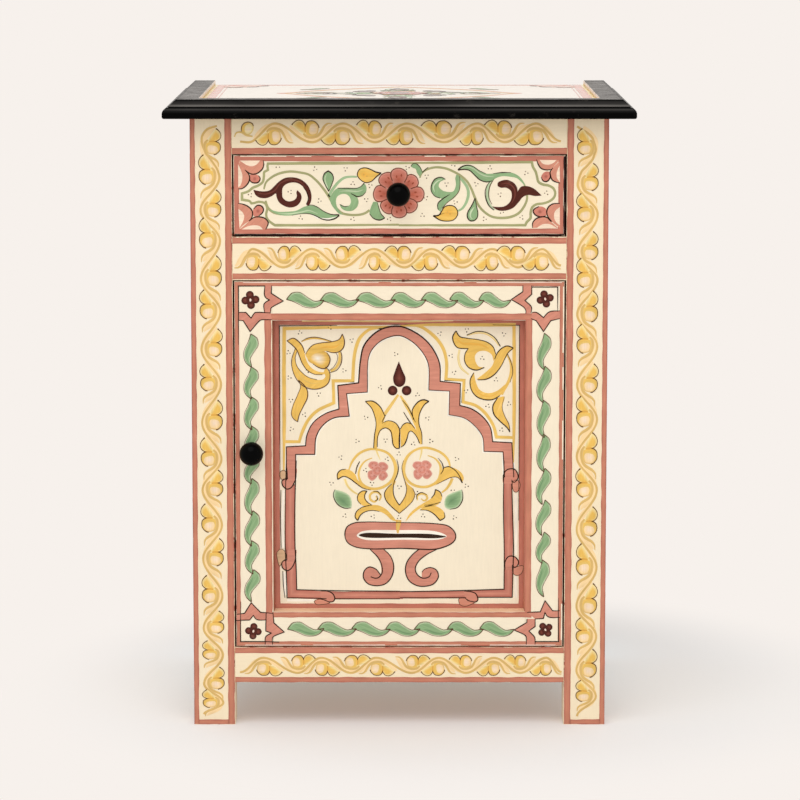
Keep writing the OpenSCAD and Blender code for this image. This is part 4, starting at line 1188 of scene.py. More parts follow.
ink(rightScroll, rim[6:], (6, 5, 4, 3), "inkSoft")
makePiece("spandrelScrolls", "door", (leftScroll, "panel"), (rightScroll, "panel"))
print("Spandrels painted")


# Bouquet and vase in the middle of the panel
bouquet = newSheet()
blob(bouquet, marks(-1, 712, bend, -8, 694, -12, 679, -9, 667, 0, 662, 9, 667, 12, 679, 6, 694), "maroon",
    5, centre=(0, 339.5), heart="maroonPale", rings=(0, 0.35, 0.75), edge="maroonDeep")
for ball in ((-6.5, 327.5), (7, 327.5)):
    blob(bouquet, circle(ball, 4.7), "maroon", 5, centre=ball, heart="maroonPale", rings=(0, 0.4, 0.8),
        edge="maroonDeep")
band(bouquet, marks(-2, 647, -20, 621, -40, 592), [2, 3.2, 2.8], "gold", 2, "yellow")
band(bouquet, marks(2, 645, 14, 625, 24, 606, 31, 587), [1.8, 3.6, 3, 1.8], "yellow", 2, "gold")
ink(bouquet, marks(6, 636, 17, 622, 25, 606, 31, 593), (3, 7, 8, 3))
ink(bouquet, marks(8, 613, 20, 594, 30, 581), (5, 8, 4))
ink(bouquet, marks(-26, 608, -31, 599, -34, 593), (3, 7, 3))
patch(bouquet, marks(-66, 634, bend, -51, 634, -37, 623, -28, 605, -33, 589, -40, 571, -43, 542, bend,
    -50, 542, bend, -48, 568, -45, 589, -48, 606, -54, 621), "yellow", 3, 1.3, [(0, 4, (6, 9, 7, 6)),
    (0, -6, (6, 6, 5, 7, 6))])
patch(bouquet, marks(57, 634, bend, 47, 637, 38, 634, 30, 626, 25, 616, 27, 598, 32, 581, 37, 564, 40, 550,
    bend, 44, 550, bend, 43, 572, 38, 589, 38, 605, 42, 617, 49, 628), "yellow", 3, 1.8,
    [(0, 6, (10, 10, 8, 7, 5)), (0, -7, (9, 7, 7, 6, 4))])
blob(bouquet, marks(-40, 589, -29, 594, -18, 595, -7, 590, 0, 579, bend, 0, 542, bend, -8, 542, -13, 549,
    -15, 562, -18, 575, -26, 581, -34, 579, -40, 568, -43, 553, bend, -47, 559), "yellow", 3.5, flow=1.2)
ink(bouquet, marks(-34, 591, -22, 596, -8, 592, 0, 580, 0, 562, 0, 542), (3, 5, 6, 9, 12, 10))
ink(bouquet, marks(-43, 545, -42, 565, -36, 578, -26, 582, -17, 576, -14, 562, -12, 549, -6, 542, 0, 542),
    (6, 6, 7, 8, 7))
patch(bouquet, marks(2, 580, bend, 7, 588, 14, 592, 23, 590, 30, 582, 37, 567, 39, 552, bend, 34, 564,
    27, 573, 22, 576, 18, 573, 15, 562, 10, 550, 3, 544, bend), "yellow", 3.5, 2, [(0, 4, (5, 7, 5)),
    (15, 7, (5, 9, 7, 5, 6, 7))])
for spiral, wide in (
        (marks(-53, 523, -66, 517, -76, 504, -79, 489, -73, 473, -59, 464, -41, 463, -23, 471, -12, 483,
            -7, 501, -11, 518, -22, 532, -39, 539, -59, 540, -79, 531, -92, 515, -98, 500), [0.7, 1.6, 2.0,
            2.2, 2.6, 2.6, 2.6, 3.0, 3.6, 3.2, 2.4, 2.3, 2.4, 2.4, 2.2, 1.2]),
        (marks(55, 528, 69, 522, 79, 509, 80, 494, 75, 479, 63, 470, 48, 466, 30, 469, 16, 479, 9, 493,
            9, 509, 15, 525, 28, 537, 46, 543, 66, 540, 84, 531, 95, 518, 99, 502), [0.7, 1.6, 2.6, 2.8,
            2.6, 2.4, 2.6, 2.8, 3.2, 3.0, 2.4, 2.3, 2.4, 2.4, 2.2, 1.4])):
    band(bouquet, spiral, wide, "yellow", 3, "gold", gap=1.6, shake=0.15)
band(bouquet, marks(-106, 482, -101, 469, -91, 458, -78, 450), [2.6, 2.4, 2.2, 1.4], "gold", 2.2,
    "goldPale")
band(bouquet, marks(103, 483, 98, 472, 91, 462, 82, 455), [2.8, 2.8, 2.2, 1.4], "yellow", 2.2, "gold")
band(bouquet, marks(-46, 543, -42, 531, -37, 519), [2.4, 1.6, 0.4], "gold", 2.2, "goldPale")
band(bouquet, marks(44, 543, 42, 530, 39, 519), [2.4, 1.6, 0.5], "gold", 2.2, "goldPale")
patch(bouquet, marks(-120, 481, bend, -120, 492, -114, 499, -104, 501, -94, 498, -86, 491, -81, 480,
    -71, 471, -59, 465, -42, 462, bend, -56, 460, -71, 464, -85, 474, -97, 483, -108, 487), "yellow", 4,
    -0.5, [(0, 4, (7, 8, 4)), (0, -5, (9, 7, 8, 6, 3)), (marks(-77, 516, -82, 506, -85, 492), (6, 9, 6))])
rim = marks(122, 475, bend, 125, 483, 121, 493, 109, 502, 97, 505, 85, 502, 80, 492, 73, 477, 51, 464, bend,
    72, 471, 87, 479, 101, 485, 113, 485)
patch(bouquet, rim, "yellow", 4, 0.5, [(marks(122, 474, 118, 485, 109, 498, 96, 506, 84, 503),
    (10, 6, 7, 6))])
ink(bouquet, part(rim, 0, -4), (8, 5, 6, 3), "inkSoft")
ink(bouquet, marks(75, 523, 83, 512, 85, 500, 80, 491), (3, 7, 8, 4))
rim = marks(-12, 482, -15, 472, -24, 463, -29, 453, -26, 440, -15, 427, 0, 414, bend, 16, 428, 27, 441,
    30, 452, 26, 463, 16, 472, 11, 480, bend, 14, 464, 12, 451, 7, 440, 0, 431, bend, -6, 440, -11, 450,
    -12, 463, -7, 477, bend)
patch(bouquet, rim, "yellow", 3.6, 1.57, [(marks(-5, 520, -2, 505, -4, 491, -10, 476, -12, 462, -11, 450,
    -6, 439, 0, 430), (4, 8, 6, 7, 7))])
ink(bouquet, marks(8, 518, 5, 505, 7, 490, 11, 476, 14, 463, 12, 450, 7, 440, 0, 430), (3, 5, 5, 6, 7),
    "inkSoft")
ink(bouquet, rim[1:7], (4, 6, 7, 7, 6))
ink(bouquet, rim[6:12], (6, 6, 5, 4), "inkSoft")
patch(bouquet, marks(-63, 458, bend, -72, 458, -80, 451, -81, 440, -75, 432, -65, 428, -53, 430, bend,
    -62, 436, -67, 443, -67, 451), "yellow", 4, 0, [(0, 5, (7, 7, 4)), (7, 12, (5, 7, 8))])
patch(bouquet, marks(-81, 400, bend, -86, 407, -83, 418, -73, 426, -59, 430, -42, 430, -27, 423, -15, 411,
    -5, 398, bend, -15, 401, -27, 412, -39, 418, -53, 420, -67, 417, -76, 410), "yellow", 4, 0.2,
    [(0, 4, (9, 7, 4)), (13, 17, (4, 6, 9)), (4, 5, (5, 7, 4))])
band(bouquet, marks(-39, 439, -36, 448, -41, 455, -50, 456, -57, 450, -56, 441, -48, 437, -43, 443,
    -46, 448), [1.2, 2, 2.2, 2.2, 2.2, 1.8, 0.8], "yellow", 3.8, "gold", gap=1)
ink(bouquet, marks(-36, 450, -42, 457, -51, 457), (4, 7, 3))
ink(bouquet, marks(-48, 438, -42, 442, -44, 449), (4, 7, 3))
patch(bouquet, marks(70, 461, bend, 79, 456, 83, 447, 80, 437, 72, 430, 59, 428, 41, 424, 25, 412, 12, 398,
    bend, 19, 412, 34, 426, 48, 435, 62, 444, 68, 452), "yellow", 4, -0.6, [(0, 3, (8, 7, 4)),
    (14, 16, (5, 8, 8)), (marks(80, 436, 66, 432, 48, 430), (5, 6, 3))])
patch(bouquet, marks(79, 400, bend, 88, 406, 87, 416, 78, 425, 62, 430, 48, 427, 40, 421, bend, 54, 420,
    67, 413), "yellow", 4, 0, [(0, 3, (9, 7, 4)), (7, 11, (4, 7, 9))])
band(bouquet, marks(35, 440, 35, 449, 43, 453, 52, 450, 54, 443, 48, 439, 42, 443),
    [1.2, 2, 2.2, 2.2, 1.8, 0.8], "yellow", 3.8, "gold", gap=1)
ink(bouquet, marks(34, 442, 34, 450, 43, 455, 53, 451), (5, 7, 6, 4))
for green, first, last, veins in (
        (marks(-125, 461, bend, -110, 457, -98, 450, -93, 440, -94, 425, -105, 424, -119, 431, -127, 444,
            -128, 454), 5, 10, marks(-117, 445, -109, 437, -100, 430)),
        (marks(121, 461, bend, 107, 456, 94, 450, 88, 440, 89, 426, 98, 422, 113, 426, 122, 439, 123, 452),
            6, 10, marks(113, 445, 101, 439, 94, 430))):
    blob(bouquet, green, "green", 4, centre=veins[1], heart="greenDeep", rings=(0, 0.25, 0.7),
        edge="greenPale")
    ink(bouquet, part(green, first, last), (4, 7, 8, 6, 3))
    ribbon(bouquet, veins, [0.2, 0.6, 0.2], "greenDeep", 5)
for places in (
        marks(-50, 508, -32, 506, -53, 489, -32, 489, -43, 498),
        marks(36, 508, 52, 509, 36, 491, 54, 492, 44, 500)):
    for turn, (px, pz) in enumerate(places):
        ring = [(px + (4.8 + 0.6 * math.sin(t * 2.1 + turn)) * math.cos(t * 0.7854),
                 pz + (4.8 + 0.6 * math.cos(t * 1.7 + turn)) * math.sin(t * 0.7854)) for t in range(8)]
        blob(bouquet, ring, "petal", 4 + turn * 0.2, centre=(px, pz), heart="petalPale",
            rings=(0, 0.35, 0.6), edge="petalPale")
        for step in range(3):
            at = (px + 2 * math.cos(step * 2.1 + turn), pz + 2 * math.sin(step * 2.1 + turn))
            blob(bouquet, diamond(*at, 0.5, 0.6), "pinkDeep", 5.6)
makePiece("panelBouquet", "door", (bouquet, "panel"))

vase = newSheet()
vaseRing = marks(-106, 371, -102, 387, -88, 395, -66, 397, -5, 396, 65, 394, 95, 389, 108, 376, 109, 364,
    102, 355, 82, 346, 65, 343, 4, 345, -57, 344, -86, 348, -101, 357)
blob(vase, vaseRing, "pink", 3)
ink(vase, vaseRing, (9, 5, 7, 10, 9, 7), closed=True)
blob(vase, marks(-83, 370, -74, 378, -3, 381, 73, 378, 92, 369, 79, 363, 4, 362, -66, 362, -80, 367),
    "creamPale", 4)
blob(vase, marks(-79, 371, -69, 375, -5, 374, 48, 374, 73, 372, 91, 368, 73, 365, 21, 366, -69, 367), "ink",
    5)
for foot, stretch, curl in (
        (marks(-57, 344, bend, -31, 344, bend, -17, 329, -11, 309, -15, 289, -27, 275, -45, 271, -61, 275,
            -70, 287, -68, 301, -59, 308, -46, 304, -37, 293, -35, 304, -41, 325), (2, 14), marks(-57, 343,
            -41, 326, -34, 309, -34, 296, -41, 287, -48, 286, -56, 289)),
        (marks(39, 344, bend, 75, 344, bend, 52, 332, 37, 319, 31, 305, 35, 293, 43, 287, 44, 298, 48, 303,
            60, 307, 72, 302, 76, 289, 67, 275, 51, 270, 35, 271, 19, 281, 12, 298, 14, 316, 25, 332),
            (9, 21), marks(73, 343, 52, 332, 37, 319, 31, 305, 35, 293, 46, 286, 58, 289, 62, 297))):
    blob(vase, foot, "pink", 2.4)
    for line in (part(foot, *stretch), curl):
        ink(vase, line, (5, 9, 8, 9, 7), gap=1.0)
band(vase, marks(-1, 401, -2, 394, -3, 384, -3, 375), [5, 4.6, 3.4, 1.6], "gold", 5.4, "orange")
makePiece("panelVase", "door", (vase, "panel"))


# Groups of three dots that fill the ground
def threeDots(paint):
    sheet = newSheet()
    for x, y, r in ((-1.6, 0.8, 0.66), (1.6, 0.9, 0.76), (-0.1, -1.6, 0.62)):
        blob(sheet, diamond(x, y, r, r), paint)
    return sheet


def scatterDots(name, body, face, paint, places):
    motif = threeDots(paint)
    scatter(name, body, face, motif, [(x, z, seeded.uniform(0, 360), 1, 1, False) for x, z in places])


dotPlaces = marks(-82, 556, -27, 558, 27, 551, 61, 556, -114, 524, -1, 531, 111, 521, -66, 499, -24, 521,
    0, 466, -132, 473, 130, 468, 32, 455, 104, 458, -106, 409, -51, 408, -1, 406, 46, 409, 107, 406,
    -53, 473, 78, 766, 130, 773, 202, 765, 100, 723, 106, 690, 160, 718, 187, 676, 212, 629, 171, 625,
    198, 578, 55, 601, 61, 556, 35, 647, 129, 654, -163, 722, -177, 694, -107, 694, -156, 648, -210, 636,
    -184, 608, -209, 580, -37, 661, -65, 602, -213, 680, -214, 729, -7, 726, -192, 768, -134, 778, -92, 753,
    -200, 743)
scatterDots("panelDots", "door", "panel", "ink", dotPlaces)
print("Bouquet and vase painted")


# Drawer front: quarter flowers in the corners, scrolls and leaves, one flower round the knob
drawerArt, cornerArt, lineArt = newSheet(), newSheet(), newSheet()
ribbon(lineArt, marks(-1, 1097, -136, 1097, -251, 1096, bend, -252, 1091, -251, 1084, -258, 1080,
    -259, 1071, -261, 1061, -270, 1054, -280, 1050, -289, 1043, -301, 1039, bend, -301, 1027, bend,
    -286, 1024, -283, 1020, -268, 1023, -257, 1020, -253, 1011, -255, 998, -252, 989, -243, 981, -238, 978,
    bend, -136, 978, -1, 979), [1.9, 1.9, 2.6, 3.2, 2.6, 2.4, 2.2, 2.4, 2, 2.4, 2.4, 2.6, 2.2, 1.9, 1.9],
    "greenLine", 2, shake=0.2)
ribbon(lineArt, marks(-1, 1097, 125, 1098, 253, 1099, bend, 255, 1090, 260, 1081, 263, 1071, 266, 1061,
    275, 1056, 285, 1054, 294, 1049, 298, 1041, 296, 1032, 287, 1024, 275, 1020, 262, 1018, 254, 1012,
    251, 1002, 251, 992, 244, 984, 241, 978, bend, 146, 978, -1, 978), [1.9, 1.9, 2.4, 2.6, 2.4, 2.4, 2.4,
    2.2, 2.4, 2.2, 2.4, 2.4, 1.9, 1.9], "greenLine", 2, shake=0.2)
# Petal, its pale edge part, and the dark line round it
cornerFlowers = [
    (marks(-307, 1102, bend, -260, 1102, bend, -259, 1095, -261, 1087, -269, 1079, -277, 1076, -285, 1077,
        -295, 1084, -302, 1094), marks(-305, 1102, bend, -266, 1102, bend, -272, 1095, -281, 1091,
        -291, 1093, -299, 1098), (2, 9)),
    (marks(-307, 1100, bend, -299, 1091, -294, 1083, -288, 1076, -286, 1068, -289, 1059, -295, 1052,
        -302, 1048, -308, 1048, bend), marks(-308, 1095, bend, -303, 1084, -300, 1074, -301, 1062,
        -304, 1054, -308, 1051, bend), (3, 9)),
    (marks(-286, 1074, -277, 1076, -269, 1073, -266, 1068, -269, 1061, -276, 1059, -283, 1061, -287, 1067),
        None, (2, 7)),
    (marks(-308, 1020, bend, -298, 1018, -288, 1013, -282, 1006, -281, 998, -284, 990, -288, 986, -298, 979,
        -307, 970, bend), marks(-308, 1009, bend, -301, 1004, -297, 996, -299, 986, -306, 973, bend),
        (0, 7)),
    (marks(-279, 1009, -272, 1016, -264, 1015, -260, 1009, -262, 1002, -269, 996, -277, 995, -281, 1000),
        None, (0, 5)),
    (marks(-306, 970, bend, -295, 979, -286, 987, -278, 993, -267, 994, -257, 991, -251, 983, -253, 976,
        -256, 970, bend), marks(-302, 970, bend, -290, 976, -277, 978, -267, 976, -261, 970, bend), (3, 9)),
    (marks(262, 1104, bend, 265, 1095, 271, 1087, 281, 1084, 289, 1085, 297, 1093, 306, 1103, bend),
        marks(268, 1103, bend, 274, 1096, 285, 1094, 295, 1098, 300, 1103, bend), (0, 5)),
    (marks(306, 1101, bend, 299, 1094, 293, 1088, 288, 1080, 289, 1072, 292, 1065, 299, 1061, 307, 1059,
        bend), marks(306, 1092, bend, 301, 1081, 301, 1069, 307, 1060, bend), (3, 8)),
    (marks(275, 1078, 281, 1081, 288, 1079, 288, 1069, 282, 1062, 275, 1063, 271, 1070), None, (2, 6)),
    (marks(307, 1020, bend, 294, 1019, 286, 1014, 282, 1005, 284, 995, 292, 985, 307, 973, bend),
        marks(307, 1013, bend, 298, 1005, 296, 994, 300, 984, 307, 978, bend), (0, 6)),
    (marks(258, 1009, 267, 1014, 277, 1012, 283, 1005, 280, 996, 271, 994, 260, 998, 256, 1005), None,
        (4, 9)),
    (marks(255, 973, bend, 255, 982, 261, 990, 271, 994, 282, 993, 290, 985, 304, 973, bend),
        marks(263, 973, bend, 275, 980, 288, 980, 301, 973, bend), (0, 6)),
]
for index, (petal, pale, (first, last)) in enumerate(cornerFlowers):
    middle = sum((Vector(point) for point in petal), Vector((0, 0))) / len(petal)
    blob(cornerArt, petal, "petal" if pale is None else "peach", 3 + 0.3 * (index % 3), flow=0.8)
    if pale is not None:
        blob(cornerArt, pale, "peachPale", 4.2)
    else:
        blob(cornerArt, circle(middle, 2.2, 7, 0.9), "pinkDeep", 4.2, centre=middle, heart="pinkDeep",
             rings=(0, 0.6), edge="petal")
    ink(cornerArt, part(petal, first, last), (5, 9, 10, 9, 6))

ribbon(drawerArt, marks(-259, 1047, -255, 1060, -244, 1070, -230, 1077, -209, 1081, -189, 1079, -173, 1075,
    -158, 1063, -146, 1049, -136, 1035, -127, 1020, -118, 1008, -109, 1001, -95, 998, -78, 998, -66, 1001,
    -57, 1007), [1.5, 2.1, 2.3, 2.2, 2.1, 2.2, 2.5, 2.6, 2.2, 2.2, 2.2], "greenLine", 2.6)
ribbon(drawerArt, marks(-256, 1025, -251, 1011, -241, 1003, -226, 999), [1.8, 2.4, 2.6, 2.2], "greenLine",
    2.6)
rim = marks(-250, 1009, bend, -232, 1004, -214, 1004, -197, 1006, -183, 1013, -170, 1016, -158, 1013,
    -146, 1005, -131, 999, -115, 997, bend, -123, 991, -135, 988, -148, 990, -160, 996, -172, 1000,
    -189, 1000, -206, 997, -224, 997, -238, 1001)
blob(drawerArt, rim, "green", 3, flow=-0.3)
ribbon(drawerArt, marks(-169, 998, -156, 992, -144, 990, -132, 991, -119, 995), [0.3, 1.6, 1.8, 1.2, 0.2],
    "creamPale", 4)
band(drawerArt, marks(-232, 1001, -210, 1000, -189, 1003, -173, 1006, -156, 1000),
    [0.4, 1.8, 2.2, 1.8, 0.4], "greenPale", 3.6, "green")
ink(drawerArt, rim[18:9:-1], (2, 4, 7, 9, 10))
ink(drawerArt, marks(-177, 1015, -169, 1017, -157, 1013, -145, 1005, -131, 999, -115, 998), (3, 5, 5, 6, 9))
maroonScroll = marks(-279, 1046, bend, -271, 1044, -259, 1043, -248, 1045, -240, 1052, -232, 1060,
    -220, 1068, -205, 1070, -191, 1067, -179, 1059, -171, 1047, -168, 1033, -170, 1021, -174, 1015, bend,
    -178, 1018, -174, 1029, -177, 1041, -184, 1052, -195, 1059, -205, 1060, -216, 1057, -223, 1050,
    -224, 1039, -223, 1031, -216, 1025, -208, 1024, -199, 1028, -196, 1034, -197, 1041, -195, 1045, bend,
    -189, 1039, -187, 1031, -190, 1022, -197, 1015, -209, 1012, -220, 1015, -230, 1022, -235, 1033,
    -236, 1039, -244, 1034, -255, 1030, -267, 1031, -274, 1035, -277, 1040)
blob(drawerArt, maroonScroll, "maroon", 4, flow=0.3)
band(drawerArt, marks(-271, 1040, -255, 1038, -238, 1045, -228, 1058, -209, 1065, -191, 1062, -179, 1051),
    [0.5, 1.6, 1.4, 1.2, 1.4, 0.4], "maroonPale", 5, "maroon")
ink(drawerArt, maroonScroll[16:20], (6, 8, 6, 3))
patch(drawerArt, marks(-136, 1082, bend, -129, 1077, -126, 1068, -129, 1057, -135, 1043, bend, -142, 1056,
    -146, 1067, -143, 1077), "green", 4, 1.5, [(5, 15, (8, 6, 7, 10, 7, 6, 5))])
ribbon(drawerArt, marks(-137, 1050, -141, 1060, -142, 1069, -139, 1076), [0.8, 1, 0.9, 0.3], "greenPale", 5)
ribbon(drawerArt, marks(-135, 1033, -130, 1043, -123, 1053, -115, 1062, -105, 1069, -94, 1071, -81, 1071),
    [2.6, 2.8, 2.6, 2.4, 2, 1.6], "greenSoft", 2.6)
rim = marks(-118, 1049, bend, -99, 1049, -82, 1049, -74, 1052, -67, 1059, bend, -63, 1051, -64, 1042,
    -70, 1036, -81, 1033, bend, -78, 1023, -81, 1013, -90, 1006, -103, 1006, -111, 1011, -114, 1018, bend,
    -105, 1014, -97, 1015, -93, 1022, -95, 1032, -103, 1038, -113, 1037, -120, 1031, -121, 1020, -117, 1009,
    -108, 998, bend, -115, 1000, -123, 1008, -130, 1018, -133, 1029, -129, 1038, -124, 1045)
blob(drawerArt, rim, "green", 3.4, flow=1.2)
band(drawerArt, marks(-115, 1043, -99, 1044, -80, 1043, -69, 1046), [0.5, 2.2, 2.4, 0.5], "greenPale", 4,
    "green")
ink(drawerArt, rim[:6], (4, 7, 6, 4, 7))
ink(drawerArt, marks(-93, 1039, -87, 1036, -81, 1033, -71, 1035, -64, 1042), (5, 9, 6, 3))
ink(drawerArt, rim[17:21], (5, 6, 2))
patch(drawerArt, marks(-50, 1023, bend, -42, 1022, -39, 1011, -35, 1000, -28, 992, bend, -37, 988, -49, 991,
    -57, 1000, -55, 1011), "green", 4, 1.2, [(5, 9, (8, 9, 7, 4)), (2, 5, (3, 5, 5, 7))])
for leaf, dots in (
        (marks(-35, 1078, bend, -45, 1080, -55, 1085, -66, 1088, -76, 1085, -80, 1078, -80, 1073, -75, 1066,
            -65, 1060, -54, 1062, -44, 1071), marks(-68, 1075, -62, 1072)),
        (marks(65, 996, bend, 75, 997, 81, 1005, 86, 1013, 95, 1016, 105, 1014, 111, 1006, 111, 997,
            103, 988, 90, 986, 78, 988), marks(92, 1003, 97, 1000))):
    blob(drawerArt, leaf, "yellow", 4.4, centre=dots[0], heart="orange", rings=(0, 0.35, 0.7),
        edge="yellow")
    ink(drawerArt, part(leaf, 1, len(leaf)), (11, 8, 7, 7, 6, 7, 11))
    for x, z in dots:
        blob(drawerArt, diamond(x, z, 0.8, 0.9), "ochre", 5.4)
ribbon(drawerArt, marks(39, 1069, 43, 1078, 53, 1085, 69, 1089, 88, 1087, 103, 1081, 117, 1073, 130, 1061,
    138, 1047, 144, 1032, 151, 1017, 161, 1005, 176, 995, 194, 992, 213, 994, 228, 1001, 238, 1013,
    244, 1028, 243, 1044, 238, 1058), [1.4, 2, 2.2, 2.2, 2.2, 2.2, 2.4, 2.2, 2.2, 2.4, 2.4, 2.2, 2, 1.4],
    "greenLine", 2.6)
ribbon(drawerArt, marks(113, 1072, 123, 1061, 130, 1050, 132, 1038, 128, 1022, 120, 1010, 111, 1005),
    [2, 2.6, 2.8, 2.8, 2.6, 2.2, 1.6], "greenSoft", 2.4)
patch(drawerArt, marks(22, 1091, 26, 1096, 32, 1096, 39, 1090, 44, 1080, bend, 39, 1071, bend, 34, 1078,
    31, 1086, 26, 1088), "green", 4, 0.9, [(0, 4, (4, 6, 4)), (marks(44, 1079, 49, 1084, 55, 1089),
    (5, 7, 4))])
rim = marks(109, 1075, bend, 115, 1072, 116, 1059, 114, 1044, 105, 1032, 91, 1021, 82, 1011, 79, 1004, bend,
    73, 1009, 74, 1020, 82, 1028, 78, 1030, bend, 68, 1034, 61, 1044, 62, 1057, 69, 1067, 80, 1070,
    88, 1066, bend, 78, 1061, 75, 1053, 82, 1045, 92, 1042, 103, 1043, 108, 1055, 107, 1069)
patch(drawerArt, rim, "green", 3.2, 1.4, [(20, 13, (5, 8, 8, 6, 5)), (marks(75, 1008, 73, 1013, 74, 1020,
    82, 1028, 96, 1037), (4, 7, 8, 8, 3))])
ink(drawerArt, rim[2:8], (4, 5, 5, 4), "inkSoft")
ribbon(drawerArt, marks(67, 1042, 65, 1053, 72, 1062, 81, 1066), [0.4, 1.4, 1.4, 0.4], "greenPale", 4)
patch(drawerArt, marks(145, 1030, bend, 138, 1015, 131, 1003, 130, 994, 135, 987, 143, 987, 149, 993,
    150, 1003, 147, 1017), "green", 4, 1.5, [(0, 10, (8, 8, 8, 9, 7, 6, 6))])
ribbon(drawerArt, marks(143, 1013, 136, 1001, 136, 994, 140, 990), [0.3, 1.6, 1.4, 0.3], "greenPale", 5)
rim = marks(112, 1084, bend, 119, 1090, 129, 1093, 140, 1091, 152, 1083, 165, 1077, 179, 1077, 196, 1079,
    213, 1079, 227, 1073, 237, 1062, 241, 1053, bend, 233, 1061, 225, 1068, 212, 1071, 196, 1072, 184, 1068,
    177, 1063, 167, 1061, 154, 1065, 144, 1074, 134, 1083, 123, 1085)
blob(drawerArt, rim, "green", 3.4, flow=-0.4)
band(drawerArt, marks(117, 1086, 129, 1090, 142, 1086, 154, 1077, 167, 1072, 181, 1072),
    [0.3, 1.6, 2, 2, 0.4], "greenPale", 4, "green")
ink(drawerArt, rim[:7], (11, 8, 6, 5, 3))
ink(drawerArt, part(rim, 0, -6), (11, 8, 8, 8, 6))
ink(drawerArt, rim[7:10], (3, 8, 3))
band(drawerArt, marks(177, 1066, 171, 1055, 168, 1042, 169, 1028, 174, 1016, 182, 1008),
    [2.2, 2.6, 2.4, 2.2, 1.6, 0.8], "greenPale", 3, "green")
ink(drawerArt, marks(174, 1063, 167, 1053, 164, 1042, 166, 1027, 172, 1015, 181, 1007), (4, 5, 6, 8, 8, 6))
ink(drawerArt, marks(181, 1067, 174, 1055, 171, 1042, 172, 1029, 177, 1018), (3, 6, 6, 5, 3), "inkSoft")
blob(drawerArt, marks(188, 1053, bend, 188, 1059, 194, 1063, 206, 1065, 219, 1059, 225, 1050, 226, 1043,
    bend, 233, 1052, 244, 1053, 256, 1049, 267, 1040, 272, 1035, bend, 260, 1034, 246, 1036, 236, 1032,
    228, 1022, 217, 1011, 202, 1006, 188, 1007, 177, 1014, bend, 188, 1013, 200, 1014, 211, 1022, 215, 1034,
    213, 1044, 204, 1050, 194, 1050), "maroon", 4, flow=0.6)
band(drawerArt, marks(194, 1057, 208, 1058, 219, 1049, 221, 1034, 215, 1020), [0.5, 1.6, 1.8, 1.6, 0.5],
    "maroonPale", 5, "maroon")
makePiece("drawerScrolls", "drawer", (drawerArt, "front"))
makePiece("drawerCorners", "drawer", (lineArt, "front"), (cornerArt, "front"))

# The flower, placed round the middle of the knob
flower = newSheet()
heart = Vector((-1.7, 518.4))
petals = ((177, 23.0, 7.8), (126, 24.2, 7.5), (43, 24.4, 6.8), (86, 25.2, 7.8), (0.5, 25.2, 7.2),
          (-42, 22.4, 6.8), (-129, 20.8, 7.2), (-85, 22.2, 7.2))   # angle, reach and half width
petalShape = ((0.3, 0.35), (0.5, 0.75), (0.72, 1.0), (0.9, 0.86), (1.0, 0.3), (0.99, -0.3), (0.88, -0.88),
              (0.7, -1.0), (0.48, -0.72), (0.3, -0.35))   # in shares of the reach and the half width
for turn, (angle, reach, half) in enumerate(petals):
    away = aim(math.radians(angle))
    side = Vector((-away.y, away.x))
    outline = [heart + away * (reach * a) + side * (half * b) for a, b in petalShape]
    blob(flower, outline, "petal", 3 + 0.4 * turn, centre=heart + away * (reach * 0.55), heart="petalCore",
        rings=(0, 0.16, 0.4, 0.7), edge="petalPale")
    ink(flower, [outline[1]] + outline[1:9], (7, 8, 7.5, 7, 7.5, 8, 8), "inkRose", 3.2 + 0.4 * turn)
    for a, b in ((0.68, 0.28), (0.74, -0.3)):
        at = heart + away * (reach * a) + side * (half * b)
        blob(flower, [at + away * 1.5, at + side * 0.8, at - away * 1.5, at - side * 0.8], "rust", 6.4)
ring = [heart + aim(t * 0.4488) * 9 for t in range(14)]
blob(flower, ring, "maroonDeep", 7)
makePiece("drawerFlower", "drawer", (flower, "front"))

dotPlaces = marks(-232, 1091, -161, 1086, -103, 1086, -285, 1036, -209, 1042, -153, 1025, -189, 992,
    -89, 990, -89, 1058, -56, 1054, -63, 1027, -19, 990, 103, 1094, 173, 1088, 242, 1078, 52, 1072,
    90, 1057, 147, 1057, 192, 1037, 281, 1040, 51, 1030, 107, 1022, 44, 997, 163, 990, 196, 1004, 234, 993,
    15, 1088)
scatterDots("drawerDots", "drawer", "front", "inkSoft", dotPlaces)
print("Drawer painted")


# Top board, seen almost from its edge in the photo: the drawer's and the door's motifs laid out on it
topLeft, topRight = span("top_board", 0)
topFront, topBack = span("top_board", 1)
topMiddle = (topFront + topBack) / 2
topArt = newSheet()
frameOf(topArt, topLeft + 3.4, topRight - 3.4, topFront + 3.4, topBack - 3.4, 8.5, "petalPale",
    edge="petal")
frameOf(topArt, topLeft + 14, topRight - 14, topFront + 14, topBack - 14, 1.2, "petalPale")
for side in (-1, 1):
    stripe(topArt, (side * (topRight - 1.9), topFront + 8), (side * (topRight - 1.9), topBack - 6), 2.6,
        "goldPale", edge="gold")


def quarterFlower(paint, heart, size):
    # Three petals that fan out between right and up
    sheet = newSheet()
    for angle in (12, 45, 78):
        away = aim(math.radians(angle))
        side = Vector((-away.y, away.x))
        ring = [(away * a + side * b) * size for a, b in (
            (4, 0), (12, 6), (20, 6.5), (25, 3), (26, 0), (25, -3), (20, -6.5), (12, -6))]
        blob(sheet, ring, paint, 3 + angle / 200, centre=away * 17 * size, heart=heart,
            rings=(0, 0.35, 0.7), edge=paint)
        ink(sheet, ring[2:7], (5, 9, 9, 5))
    return sheet


leafSheet = twistLeaf()
